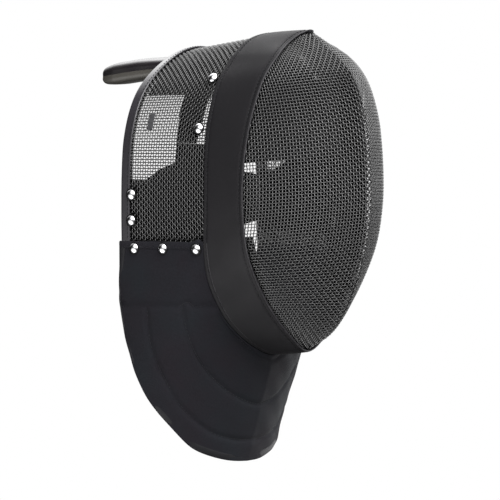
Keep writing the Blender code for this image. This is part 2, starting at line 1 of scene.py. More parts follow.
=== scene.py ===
"""Render model of a fencing mask: woven wire, cloth, padding and rivets, in a plain studio.

Metres, +Z up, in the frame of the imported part. The face looks along -Y and the wearer's left is
+X. Each table measures a point from the top centre of the rear rim, as half width, forward and
height, for the wearer's right half, and place() moves it to the part's origin.
"""

from __future__ import annotations

import logging
import math
from dataclasses import dataclass, field
from enum import Enum
from typing import NamedTuple, Sequence

import bmesh
import bpy
import numpy as np
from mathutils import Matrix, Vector

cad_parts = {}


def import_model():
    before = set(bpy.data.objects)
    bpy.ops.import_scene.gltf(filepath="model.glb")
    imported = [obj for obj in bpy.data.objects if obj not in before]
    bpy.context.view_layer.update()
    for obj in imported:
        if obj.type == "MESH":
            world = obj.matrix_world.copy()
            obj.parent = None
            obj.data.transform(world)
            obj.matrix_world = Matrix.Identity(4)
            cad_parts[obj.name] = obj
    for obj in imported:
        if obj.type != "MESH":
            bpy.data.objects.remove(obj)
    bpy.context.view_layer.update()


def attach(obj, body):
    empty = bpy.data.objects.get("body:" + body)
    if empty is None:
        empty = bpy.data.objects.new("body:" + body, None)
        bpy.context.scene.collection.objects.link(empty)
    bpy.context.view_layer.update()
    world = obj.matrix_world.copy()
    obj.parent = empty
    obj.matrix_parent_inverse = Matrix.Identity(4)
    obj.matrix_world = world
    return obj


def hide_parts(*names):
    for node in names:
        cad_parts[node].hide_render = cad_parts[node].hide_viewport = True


Array = np.ndarray
Material = bpy.types.Material

BODY = "root"

HEAD_SEAT_FORWARD = -0.075
HEAD_SEAT_HEIGHT = 0.0014

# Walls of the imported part, which the pieces here stay in.
WIRE_WALL = 0.0020
COVER_THICKNESS = 0.0018
COVER_INSET = 0.0022
LINING_INSET = 0.0050
YOKE_THICKNESS = 0.0022
QUILT_THICKNESS = 0.0055

RIM_FORWARD = -0.140
RIM_BOTTOM = -0.179
RIM_WIDTH = 0.011

INSIDE = np.array([0.0, 0.0, -0.14])
GRID_END = 1.001  # how far before a grid's last row or column a reading stays
WIRE_END = 1.01  # the same for the ends of wires
TOUCHING = 1e-6  # points nearer than this are one point
SPAN_STEPS = 32  # how finely a curve is read between two points of a table

log = logging.getLogger("fencing_mask")


class Edge(NamedTuple):
    """A point on an edge of the mask: half width, forward and up from the rim's top centre."""

    half_width: float
    forward: float
    height: float


class BibLine(NamedTuple):
    """One line down the bib, from its top edge to its lower edge, and how far it bows out."""

    top: Edge
    bottom: Edge
    bow: float


class TongueSection(NamedTuple):
    """One section across the spring tongue."""

    forward: float
    height: float
    half_width: float
    thickness: float


class RivetPlace(NamedTuple):
    """Where a rivet sits on the side, and whether it holds the yoke of the bib."""

    forward: float
    height: float
    on_yoke: bool


class PadEdge(NamedTuple):
    """A point of a pad's upper or lower edge: its share of the way to the band, and its height."""

    share: float
    height: float


class SeamPoint(NamedTuple):
    """A point of a quilting seam: its share from the rear edge to the front, and down."""

    across: float
    down: float


def table(kind: type, *rows: Sequence[float]) -> tuple:
    """Rows of numbers as records of one kind."""
    return tuple(kind(*row) for row in rows)


RIM_ARCH = table(Edge, *((width, RIM_FORWARD, height) for width, height in (
    (0.0000, 0.0000), (0.0180, -0.0020), (0.0360, -0.0078), (0.0540, -0.0165), (0.0700, -0.0270),
    (0.0830, -0.0395), (0.0925, -0.0550), (0.0988, -0.0720), (0.1027, -0.0900), (0.1046, -0.1180),
    (0.1050, -0.1500), (0.1046, -0.1790))))

BAND_REAR = table(
    Edge,
    (0.0000, -0.0460, 0.0170), (0.0278, -0.0460, 0.0125), (0.0482, -0.0460, 0.0008),
    (0.0610, -0.0458, -0.0108), (0.0722, -0.0455, -0.0217), (0.0812, -0.0445, -0.0336),
    (0.0881, -0.0430, -0.0464), (0.0943, -0.0420, -0.0625), (0.0985, -0.0413, -0.0810),
    (0.1006, -0.0410, -0.1080), (0.1010, -0.0410, -0.1350), (0.1002, -0.0420, -0.1610),
    (0.0978, -0.0440, -0.1870), (0.0900, -0.0440, -0.2160), (0.0720, -0.0426, -0.2450),
    (0.0520, -0.0410, -0.2640), (0.0280, -0.0390, -0.2790), (0.0000, -0.0375, -0.2880))

BAND_FRONT = table(
    Edge,
    (0.0000, 0.0060, 0.0218), (0.0110, 0.0020, 0.0188), (0.0262, 0.0003, 0.0108),
    (0.0478, 0.0053, 0.0001), (0.0688, 0.0050, -0.0210), (0.0840, 0.0030, -0.0550),
    (0.0905, 0.0010, -0.0834), (0.0940, 0.0000, -0.1100), (0.0948, 0.0000, -0.1420),
    (0.0904, 0.0010, -0.1805), (0.0787, 0.0025, -0.2090), (0.0587, 0.0040, -0.2383),
    (0.0288, 0.0050, -0.2675), (0.0000, 0.0045, -0.2835))

FACE_CREASE = table(Edge, *((0.0, forward, height) for forward, height in (
    (0.0170, 0.0120), (0.0305, 0.0045), (0.0445, -0.0055), (0.0570, -0.0175), (0.0685, -0.0390),
    (0.0765, -0.0695), (0.0805, -0.1050), (0.0815, -0.1420), (0.0770, -0.1750), (0.0690, -0.2030),
    (0.0590, -0.2280), (0.0470, -0.2490), (0.0300, -0.2670))))

BIB_LINES = tuple(BibLine(Edge(*row[:3]), Edge(*row[3:6]), row[6]) for row in (
    (0.1050, -0.1405, -0.1795, 0.1045, -0.1412, -0.2350, 0.000),
    (0.1047, -0.1320, -0.1793, 0.1040, -0.1380, -0.2550, 0.001),
    (0.1040, -0.1180, -0.1790, 0.1030, -0.1320, -0.2810, 0.002),
    (0.1033, -0.1000, -0.1785, 0.1000, -0.1222, -0.3110, 0.003),
    (0.1024, -0.0790, -0.1780, 0.0950, -0.1127, -0.3300, 0.004),
    (0.1012, -0.0590, -0.1775, 0.0903, -0.1062, -0.3410, 0.004),
    (0.0990, -0.0445, -0.1775, 0.0845, -0.1000, -0.3505, 0.003),
    (0.0900, -0.0445, -0.2163, 0.0750, -0.0920, -0.3640, 0.000),
    (0.0720, -0.0431, -0.2453, 0.0635, -0.0858, -0.3765, -0.004),
    (0.0500, -0.0414, -0.2656, 0.0460, -0.0776, -0.3840, -0.003),
    (0.0250, -0.0394, -0.2805, 0.0240, -0.0720, -0.3896, -0.001),
    (0.0000, -0.0380, -0.2885, 0.0000, -0.0700, -0.3908, 0.000)))

TONGUE_SECTIONS = table(
    TongueSection,
    (-0.0960, -0.0106, 0.0150, 0.0060), (-0.1120, -0.0142, 0.0190, 0.0075),
    (-0.1300, -0.0178, 0.0205, 0.0078), (-0.1420, -0.0180, 0.0215, 0.0130),
    (-0.1550, -0.0190, 0.0215, 0.0165), (-0.1900, -0.0230, 0.0215, 0.0185),
    (-0.2200, -0.0277, 0.0205, 0.0185), (-0.2340, -0.0300, 0.0165, 0.0155),
    (-0.2390, -0.0309, 0.0105, 0.0095))

RIVETS = table(
    RivetPlace,
    (-0.1265, -0.1340, False), (-0.1265, -0.1590, False), (-0.1230, -0.1852, True),
    (-0.0890, -0.1842, True), (-0.0509, -0.1832, True), (-0.0525, -0.0225, False),
    (-0.0505, -0.0690, False))

CHEEK_PAD_TOP = table(
    PadEdge,
    (0.092, -0.1200), (0.27, -0.1197), (0.33, -0.1160), (0.44, -0.1088), (0.610, -0.1022),
    (0.618, -0.0832), (1.020, -0.0832))

CROWN_PAD_EDGE = table(
    PadEdge,
    (0.13, -0.0385), (0.40, -0.0372), (0.600, -0.0365), (0.610, -0.0830), (0.740, -0.0830),
    (0.845, -0.0830), (0.855, -0.0275), (0.985, -0.0265))

# The upper seam crosses the bib below the yoke, and the others curve from it round the front.
BIB_SEAMS = (
    table(
        SeamPoint,
        (0.065, 0.863), (0.200, 0.555), (0.275, 0.453), (0.345, 0.405), (0.417, 0.378),
        (0.495, 0.365), (0.578, 0.292), (0.640, 0.138), (0.698, 0.015)),
    table(
        SeamPoint,
        (0.280, 0.445), (0.302, 0.557), (0.330, 0.660), (0.385, 0.733), (0.468, 0.792),
        (0.560, 0.835), (0.638, 0.828), (0.725, 0.815), (0.812, 0.825), (0.900, 0.812),
        (1.000, 0.805)),
    table(
        SeamPoint,
        (0.500, 0.370), (0.547, 0.440), (0.598, 0.445), (0.645, 0.448), (0.700, 0.453),
        (0.765, 0.453), (0.838, 0.458), (0.912, 0.460), (1.000, 0.470)),
    table(
        SeamPoint,
        (0.730, 0.000), (0.772, 0.000), (0.815, 0.018), (0.863, 0.025), (0.912, 0.040),
        (1.000, 0.055)),
)


class Half(Enum):
    """The wearer's side that a piece is on."""

    RIGHT = "right"
    LEFT = "left"

    def of(self, points: Array) -> Array:
        """Points of the right half, mirrored if this is the left half."""
        return mirrored(points) if self is Half.LEFT else points


# Points and curves


def place(edge: Sequence[float]) -> Array:
    """Moves half width, forward and height to x, y and z from the part's origin."""
    half_width, forward, height = edge[:3]
    return np.array([-half_width, HEAD_SEAT_FORWARD - forward, height - HEAD_SEAT_HEIGHT])


def mirrored(points: Array) -> Array:
    """The same points on the wearer's other side."""
    return points * np.array([-1.0, 1.0, 1.0])


def over_crown(right: Array) -> Array:
    """Rows from the crown down, joined over the crown to their mirror image."""
    return np.concatenate([mirrored(right[:0:-1]), right])


def round_chin(right: Array) -> Array:
    """Rows that end at the front centre, joined there to their mirror image."""
    return np.concatenate([right, mirrored(right[-2::-1])])


def both_halves(right: Array) -> Array:
    """Rows from the crown to the chin, joined to their mirror image into one ring."""
    return np.concatenate([right, mirrored(right[-2:0:-1])])


def extended(points: Array) -> Array:
    """The points with one phantom point at each end, straight on from the last two."""
    return np.vstack([2 * points[:1] - points[1:2], points, 2 * points[-1:] - points[-2:-1]])


def unit(vectors: Array) -> Array:
    """The vectors scaled to length one, along their last axis."""
    length = np.linalg.norm(vectors, axis=-1, keepdims=True)
    return vectors / np.maximum(length, 1e-12)


def spline(points: Array, positions: Array) -> Array:
    """A Catmull-Rom curve through all but the first and last of the points.

    Args:
        points: The points, with one phantom point at each end.
        positions: Where to read the curve, counted in points from the second one.

    Returns:
        One point for each position.
    """
    index = np.clip(positions.astype(int), 0, len(points) - 4)
    t = (positions - index)[:, None]
    a, b, c, d = (points[index + i] for i in range(4))
    bend = (a - 2.5 * b + 2.0 * c - 0.5 * d) * t**2
    return b + (c - a) * 0.5 * t + bend + (1.5 * b - 0.5 * a - 1.5 * c + 0.5 * d) * t**3


def blend_rows(places: Array, rows: Array, wanted: Array) -> Array:
    """Points read between rows of points.

    Args:
        places: The rising position of each row.
        rows: The points, one for each place.
        wanted: The positions to read.

    Returns:
        One point for each wanted position.
    """
    return np.stack([np.interp(wanted, places, rows[:, i]) for i in range(3)], axis=1)


def lengths_along(points: Array) -> Array:
    """How far along a line of points each point lies."""
    steps = np.linalg.norm(np.diff(points, axis=0), axis=1)
    return np.concatenate([[0.0], np.cumsum(steps)])


def flat_map(along: Array, across: Array) -> Array:
    """Where each point of a grid lies on the flat cloth."""
    return np.stack(np.meshgrid(along, across, indexing="ij"), -1)


def smooth_curve(points: Array, fractions: Array) -> Array:
    """Reads a smooth curve at fractions of its length. Its ends on the mirror plane cross it
    at a right angle.

    Args:
        points: The points it goes through.
        fractions: Shares of its length, from 0 to 1.

    Returns:
        One point for each fraction.
    """
    padded = extended(points)
    if points[0][0] == 0:
        padded[0] = mirrored(points[1])
    if points[-1][0] == 0:
        padded[-1] = mirrored(points[-2])
    spans = len(points) - 1
    fine = spline(padded, np.linspace(0, spans, SPAN_STEPS * spans + 1))
    lengths = lengths_along(fine)
    return blend_rows(lengths, fine, np.asarray(fractions) * lengths[-1])


def edge_curve(edges: Sequence[Edge], fractions: Array) -> Array:
    """The smooth curve of a table of edges, at fractions of its length."""
    return smooth_curve(np.array([place(edge) for edge in edges]), fractions)


def outward(curve: Array) -> Array:
    """Unit normals of a hoop's curve, which runs from the crown down on the wearer's right.

    Args:
        curve: The points of the curve.

    Returns:
        One vector for each point, out of the mask and in the plane across it.
    """
    before = np.vstack([curve[:1], curve[:-1]])
    after = np.vstack([curve[1:], curve[-1:]])
    if abs(curve[0][0]) < TOUCHING:
        before[0] = mirrored(curve[1])
    if abs(curve[-1][0]) < TOUCHING:
        after[-1] = mirrored(curve[-2])
    along = after - before
    return unit(np.stack([along[:, 2], np.zeros(len(curve)), -along[:, 0]], axis=1))


def capped(rows: Array, ends: Array | None = None) -> Array:
    """Rows of a tube's points, with a row drawn together at each end to close it.

    Args:
        rows: The grid of points, one row for each section.
        ends: The two points that close it, or none for the middles of its end sections.

    Returns:
        The grid with one more row at each end.
    """
    if ends is None:
        ends = rows[[0, -1]].mean(axis=1)
    tips = np.repeat(ends[:, None], rows.shape[1], axis=1)
    return np.concatenate([tips[:1], rows, tips[1:]])


def nearest_spot(grid: Array, goal: Array) -> tuple[int, int]:
    """Finds the point of a grid that lies nearest to a goal, seen from the side.

    Args:
        grid: The grid of points.
        goal: The y and z to look for.

    Returns:
        The row and the column of the point.
    """
    gap = np.linalg.norm(grid[..., 1:] - goal, axis=2)
    row, column = np.unravel_index(int(np.argmin(gap)), gap.shape)
    return int(row), int(column)


class Sheet:
    """A smooth surface read from a grid of points, with its outward normals."""

    def __init__(self, points: Array, inside: Array = INSIDE) -> None:
        """Keeps the grid and works out its normals.

        Args:
            points: The grid, as rows, columns and x, y, z.
            inside: A point that the normals point away from.
        """
        self.points = points
        normals = unit(np.cross(np.gradient(points, axis=0), np.gradient(points, axis=1)))
        away = points.reshape(-1, 3).mean(axis=0) - inside
        facing = normals.reshape(-1, 3).mean(axis=0) @ away
        self.normals = -normals if facing < 0 else normals

    def _read(self, grid: Array, row: Array, column: Array) -> Array:
        """Reads a grid between its rows and columns.

        Args:
            grid: The surface's points or its normals.
            row: Positions counted in rows.
            column: Positions counted in columns.

        Returns:
            One vector for each pair of positions.
        """
        rows, columns = grid.shape[:2]
        row = np.clip(row, 0, rows - GRID_END)
        column = np.clip(column, 0, columns - GRID_END)
        i, j = row.astype(int), column.astype(int)
        s, t = (row - i)[..., None], (column - j)[..., None]
        upper = grid[i, j] * (1 - t) + grid[i, j + 1] * t
        lower = grid[i + 1, j] * (1 - t) + grid[i + 1, j + 1] * t
        return upper * (1 - s) + lower * s

    def at(self, row: Array, column: Array, lift: Array | float = 0.0) -> Array:
        """Points of the surface, moved out along its normals.

        Args:
            row: Positions counted in rows.
            column: Positions counted in columns.
            lift: How far out of the surface each point lies.

        Returns:
            One point for each pair of positions.
        """
        lift = np.broadcast_to(lift, np.shape(row))[..., None]
        return self._read(self.points, row, column) + self.normal(row, column) * lift

    def normal(self, row: Array, column: Array) -> Array:
        """The outward unit normals at these rows and columns."""
        return unit(self._read(self.normals, row, column))


# Meshes


@dataclass
class MeshParts:
    """Vertices, faces and flat cloth positions gathered into one mesh."""

    vertices: list[Array] = field(default_factory=list)
    faces: list[Array] = field(default_factory=list)
    flats: list[Array] = field(default_factory=list)
    count: int = 0

    def add_grid(self, points: Array, wrap_rows: bool = False, wrap_columns: bool = False,
                 flats: Array | None = None) -> MeshParts:
        """Adds a grid of points and the four-cornered faces between them.

        Args:
            points: Rows, columns and x, y, z.
            wrap_rows: Whether the last row joins the first.
            wrap_columns: Whether the last column joins the first.
            flats: Where each point lies on the flat cloth, in metres.

        Returns:
            The same gathered mesh.
        """
        rows, columns = points.shape[:2]
        numbers = np.arange(rows * columns).reshape(rows, columns) + self.count
        i, j = np.meshgrid(np.arange(rows if wrap_rows else rows - 1),
                           np.arange(columns if wrap_columns else columns - 1), indexing="ij")
        i2, j2 = (i + 1) % rows, (j + 1) % columns
        faces = np.stack([numbers[i, j], numbers[i2, j], numbers[i2, j2], numbers[i, j2]], -1)
        self.vertices.append(points.reshape(-1, 3))
        self.faces.append(faces.reshape(-1, 4))
        self.flats.append(np.zeros((rows * columns, 2)) if flats is None
                          else flats.reshape(-1, 2))
        self.count += rows * columns
        return self

    def add_tube(self, path: Array, normals: Array, radius: float, sides: int) -> MeshParts:
        """Adds a round wire or cord with closed ends.

        Args:
            path: The points of its centre line.
            normals: A direction across it at each point.
            radius: Its radius.
            sides: How many faces go round it.

        Returns:
            The same gathered mesh.
        """
        along = unit(np.gradient(path, axis=0))
        across = unit(np.cross(along, normals))
        up = np.cross(across, along)
        turns = np.arange(sides) * (2 * math.pi / sides)
        ring = np.cos(turns)[:, None] * up[:, None] + np.sin(turns)[:, None] * across[:, None]
        far = lengths_along(np.concatenate([path[:1], path, path[-1:]]))
        return self.add_grid(capped(path[:, None] + ring * radius, path[[0, -1]]),
                             wrap_columns=True, flats=flat_map(far, turns * radius))

    def build(self, name: str) -> bpy.types.Object:
        """Makes the gathered mesh into a new object with smooth shading, linked to the scene.

        Args:
            name: The name of the object and its mesh.

        Returns:
            The object.
        """
        vertices = np.concatenate(self.vertices).astype(np.float32)
        faces = np.concatenate(self.faces).astype(np.int32)
        flats = np.concatenate(self.flats).astype(np.float32)
        mesh = bpy.data.meshes.new(name)
        mesh.vertices.add(len(vertices))
        mesh.vertices.foreach_set("co", vertices.ravel())
        mesh.loops.add(faces.size)
        mesh.loops.foreach_set("vertex_index", faces.ravel())
        mesh.polygons.add(len(faces))
        mesh.polygons.foreach_set("loop_start", np.arange(0, faces.size, 4, dtype=np.int32))
        layer = mesh.uv_layers.new(name="cloth")
        layer.uv.foreach_set("vector", flats[faces.ravel()].ravel())
        mesh.update(calc_edges=True)
        mesh.validate()
        mesh.polygons.foreach_set("use_smooth", np.full(len(mesh.polygons), True))
        made = bpy.data.objects.new(name, mesh)
        bpy.context.scene.collection.objects.link(made)
        return made


class Piece:
    """What every piece of the mask shares: how it joins the part and takes its finish."""

    def finish(self, parts: MeshParts, name: str, material: Material, slot: str,
               *replaces: str, closed: bool = False) -> bpy.types.Object:
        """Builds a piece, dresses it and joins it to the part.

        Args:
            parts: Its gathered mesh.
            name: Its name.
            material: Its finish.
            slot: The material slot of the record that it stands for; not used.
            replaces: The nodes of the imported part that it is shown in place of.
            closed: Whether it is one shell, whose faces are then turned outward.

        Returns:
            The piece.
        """
        made = parts.build(name)
        if closed:
            work = bmesh.new()
            work.from_mesh(made.data)
            bmesh.ops.remove_doubles(work, verts=work.verts, dist=TOUCHING)
            bmesh.ops.recalc_face_normals(work, faces=work.faces)
            work.to_mesh(made.data)
            work.free()
        made.data.materials.clear()
        made.data.materials.append(material)
        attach(made, BODY)
        if replaces:
            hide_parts(*replaces)
        log.info("%s: %d faces", made.name, len(made.data.polygons))
        return made


# The forms that the walls follow


class SideForm:
    """The side of the mask, ruled from the rim's arch to the rear edge of the band."""

    steps: int = 400
    lowest: float = 1.05
    level_steps: int = 1050

    def __init__(self) -> None:
        """Reads both edges finely, for the wearer's right half."""
        self._shares = np.linspace(0, 1, self.steps + 1)
        self._hoop = edge_curve(BAND_REAR, self._shares)
        self._hoop_out = outward(self._hoop)
        self._arch = edge_curve(RIM_ARCH, self._shares)
        self._arch_out = outward(self._arch)
        goal = RIM_BOTTOM - HEAD_SEAT_HEIGHT
        self.hoop_share = float(np.argmax(self._hoop[:, 2] <= goal)) / self.steps
        self.length = lengths_along(self._hoop)[-1] * self.hoop_share

    def edges(self, fractions: Array) -> tuple[Array, Array, Array, Array]:
        """The two ends of the ruled lines, and their outward normals.

        Args:
            fractions: How far down the arch, from the crown (0) to the rim's end (1) and below.

        Returns:
            Points at the rim and at the band, then the normals there.
        """
        fractions = np.asarray(fractions, dtype=float)
        held = np.clip(fractions, 0, 1)
        at_rim = blend_rows(self._shares, self._arch, held)
        at_rim[:, 2] -= np.maximum(fractions - 1, 0) * self.length
        rim_out = unit(blend_rows(self._shares, self._arch_out, held))
        on_hoop = fractions * self.hoop_share
        at_band = blend_rows(self._shares, self._hoop, on_hoop)
        band_out = unit(blend_rows(self._shares, self._hoop_out, on_hoop))
        return at_rim, at_band, rim_out, band_out

    def grid(self, fractions: Array, shares: Array, depth: float) -> Array:
        """Points inside the side.

        Args:
            fractions: How far down the arch each row lies.
            shares: How far from the rim to the band each column lies.
            depth: How far inside the outer surface.

        Returns:
            The grid of points.
        """
        at_rim, at_band, rim_out, band_out = self.edges(fractions)
        start = (at_rim - rim_out * depth)[:, None]
        end = (at_band - band_out * depth)[:, None]
        return start + (end - start) * np.asarray(shares)[None, :, None]

    def inward(self, fractions: Array, shares: Array) -> Array:
        """Directions into the mask over a grid of the side.

        Args:
            fractions: How far down the arch each row lies.
            shares: How far from the rim to the band each column lies.

        Returns:
            One unit vector for each point.
        """
        _, _, rim_out, band_out = self.edges(fractions)
        shares = np.asarray(shares)[None, :, None]
        return -unit(rim_out[:, None] * (1 - shares) + band_out[:, None] * shares)

    def level_at(self, edge: PadEdge) -> float:
        """How far down the arch the side reaches a pad's edge.

        Args:
            edge: A point of the pad's edge.

        Returns:
            The fraction of the arch's length.
        """
        fractions = np.linspace(0, self.lowest, self.level_steps + 1)
        line = self.grid(fractions, np.array([edge.share]), 0.0)[:, 0, 2]
        return float(np.interp(-(edge.height - HEAD_SEAT_HEIGHT), -line, fractions))


class BandForm:
    """The band's outer surface, from its rear edge to its front edge, all round the mask."""

    steps: int = 400

    def __init__(self) -> None:
        """Reads both edges at the same shares of their length, from the crown to the chin."""
        self.shares = np.linspace(0, 1, self.steps + 1)
        self.rear = edge_curve(BAND_REAR, self.shares)
        self.front = edge_curve(BAND_FRONT, self.shares)
        self.rear_out, self.front_out = outward(self.rear), outward(self.front)

    def out(self, across: float) -> Array:
        """The outward normals along a line down the band at a share of the way forward."""
        return unit(self.rear_out * (1 - across) + self.front_out * across)

    def line(self, across: float, depth: float) -> Array:
        """The points of that line, so deep inside the surface."""
        return self.rear * (1 - across) + self.front * across - self.out(across) * depth

    def steps_at(self, heights: Sequence[float]) -> Array:
        """How many steps down the front edge reaches these heights."""
        known = self.front[:, 2] + HEAD_SEAT_HEIGHT
        return np.interp(-np.asarray(heights), -known, np.arange(len(known), dtype=float))

    def edges(self, steps: Array) -> tuple[Array, Array, Array]:
        """Reads the band's edges between their steps.

        Args:
            steps: Where to read them, counted in steps from the crown.

        Returns:
            The front edge, the rear edge and the front's outward normals.
        """
        known = np.arange(self.steps + 1, dtype=float)
        return (blend_rows(known, self.front, steps), blend_rows(known, self.rear, steps),
                blend_rows(known, self.front_out, steps))


class FaceForm:
    """The domed face, as arcs from the band to the centre crease."""

    levels: int = 700
    arc_points: int = 81
    edge_angle: float = 76.0
    edge_angle_fall: float = 36.0
    crown_angle: float = 40.0
    crown_share: float = 0.17
    crease_angle: float = 20.0
    crease_angle_rise: float = 20.0
    handle: float = 0.37
    step: float = 0.0005
    spare_columns: int = 20
    tuck: float = 0.007
    inside: Array = np.array([0.0, HEAD_SEAT_FORWARD, -0.13])

    def __init__(self) -> None:
        """Works out the surface, both halves, in even steps of arc from the crease."""
        shares = np.linspace(0, 1, self.levels + 1)
        outline, rear = edge_curve(BAND_FRONT, shares), edge_curve(BAND_REAR, shares)
        normals = outward(outline)
        edge = outline - normals * COVER_INSET
        middle = [place(point) for point in FACE_CREASE]
        crease = smooth_curve(np.array([edge[0], *middle, edge[-1]]), shares)
        run = self.tuck / (rear[:, 1] - outline[:, 1])
        tucked = outline + (rear - outline) * run[:, None] - normals * COVER_INSET
        crown = (1 - shares / self.crown_share).clip(0, 1)
        angle = self.edge_angle + self.crown_angle * crown**2 - self.edge_angle_fall * shares**4
        angle = np.radians(angle)[:, None]
        along = np.array([[0.0, -1.0, 0.0]]) * np.sin(angle) - normals * np.cos(angle)
        ridge = np.radians(self.crease_angle + self.crease_angle_rise * shares**2)
        back = np.stack([-np.cos(ridge), np.sin(ridge), np.zeros(len(ridge))], axis=1)
        reach = np.linalg.norm(crease - edge, axis=1)[:, None] * self.handle
        controls = (edge, edge + along * reach, crease + back * reach, crease)
        t = np.linspace(0, 1, self.arc_points)[None, :, None]
        weights = ((1 - t) ** 3, 3 * (1 - t) ** 2 * t, 3 * (1 - t) * t**2, t**3)
        section = sum(weight * point[:, None] for weight, point in zip(weights, controls))
        section = section[:, ::-1]
        section[:, 0, 0] = 0.0
        past = tucked + (tucked - edge) * 2
        section = np.concatenate([section, tucked[:, None], past[:, None]], axis=1)
        arcs = np.linalg.norm(np.diff(section, axis=1), axis=2).cumsum(axis=1)
        arcs = np.concatenate([np.zeros((len(arcs), 1)), arcs], axis=1)
        self.reach = arcs[:, -3]
        self.columns = int(self.reach.max() / self.step) + self.spare_columns
        distances = np.arange(self.columns) * self.step
        half = np.stack([blend_rows(arc, line, distances) for arc, line in zip(arcs, section)])
        whole = np.concatenate([mirrored(half[:, :0:-1]), half], axis=1)
        self.sheet = Sheet(whole, self.inside)

    def column(self, distance: Array) -> Array:
        """The grid column at a distance round from the crease, towards the wearer's right."""
        return np.asarray(distance) / self.step + (self.columns - 1)


class BibForm:
    """The outer face of the bib, from its rear edges round the front."""

    hoop_steps: int = 1600
    corner_row: int = 6
    gap: float = 0.0004
    clearance: float = 0.0007

    def __init__(self) -> None:
        """Reads the band's rear edge, which the bib's upper edge follows."""
        self._hoop = edge_curve(BAND_REAR, np.linspace(0, 1, self.hoop_steps + 1))
        self._hoop_out = outward(self._hoop)

    def _behind_band(self, point: Array) -> Array:
        """The place just behind the band's rear edge that lies nearest to a point.

        Args:
            point: A point of the bib's upper edge.

        Returns:
            The place that it moves to.
        """
        away = self._hoop[:, [0, 2]] - point[[0, 2]]
        index = int(np.argmin((away**2).sum(axis=1)))
        lift = self._hoop_out[index] * self.gap
        return self._hoop[index] + lift + np.array([0.0, self.clearance, 0.0])

    def _read(self, points: Array, rows: Array) -> Array:
        """Reads a line of points that ends at the front centre.

        Args:
            points: The points of the line.
            rows: Where to read it, counted in points.

        Returns:
            One point for each row.
        """
        padded = extended(points)
        padded[-1] = mirrored(points[-2])
        return spline(padded, rows)

    def grid(self, across: Array, down: Array) -> Array:
        """Points of the bib's outer face.

        Args:
            across: Shares from the rear edge (0) to the front centre (1), for each row.
            down: Shares from the upper to the lower edge, for each column.

        Returns:
            The grid of points, on the wearer's right.
        """
        rows = np.asarray(across) * (len(BIB_LINES) - 1)
        tops, lows = (self._read(np.array([place(edge) for edge in edges]), rows)
                      for edges in zip(*((line.top, line.bottom) for line in BIB_LINES)))
        bow = self._read(np.array([(0.0, line.bow, 0.0) for line in BIB_LINES]), rows)[:, 1:2]
        for i in np.flatnonzero(rows >= self.corner_row):
            tops[i] = self._behind_band(tops[i])
        middle = (tops + lows) / 2
        away = np.stack([middle[:, 0], np.minimum(middle[:, 1], 0), np.zeros(len(rows))], -1)
        control = middle + unit(away) * 2 * bow
        t = np.asarray(down)[None, :, None]
        upper, lower = tops[:, None] * (1 - t) ** 2, lows[:, None] * t**2
        return upper + control[:, None] * (2 * t * (1 - t)) + lower


# Woven wire


class WireNet(Piece):
    """Shared sizes of the woven wire, and how a wire is bent over and under the others."""

    radius: float = 0.00055
    bend: float = 0.00070
    cross_bend: float = 0.00022
    cross_radius: float = 0.00043
    cross_sink: float = 0.00030
    flat_share: float = 0.24
    sides: int = 5
    middle: float = -WIRE_WALL / 2

    def crimped(self, places: Array) -> Array:
        """Two places for each crossing, between which the wire lies flat over or under another."""
        spread = np.array([-self.flat_share, self.flat_share])
        return (np.asarray(places, dtype=float)[:, None] + spread).ravel()

    def signs(self, parity: Array) -> Array:
        """Plus one where a wire passes over, where parity is even, and minus one under."""
        return np.where(np.asarray(parity) % 2 == 0, 1.0, -1.0)

    def lifts(self, parity: Array, bend: float) -> Array:
        """How far out a wire bent by so much lies at each of its crimped places."""
        return np.repeat(self.signs(parity), 2) * bend

    def wire(self, parts: MeshParts, sheet: Sheet, row: Array, column: Array,
             lift: Array, radius: float) -> None:
        """Bends one wire along a sheet.

        Args:
            parts: Where the wires are gathered.
            sheet: The wall's outer surface.
            row: The wire's positions, counted in rows.
            column: The same, counted in columns.
            lift: How far out it lies at each of them.
            radius: The wire's radius.
        """
        parts.add_tube(sheet.at(row, column, lift), sheet.normal(row, column), radius, self.sides)


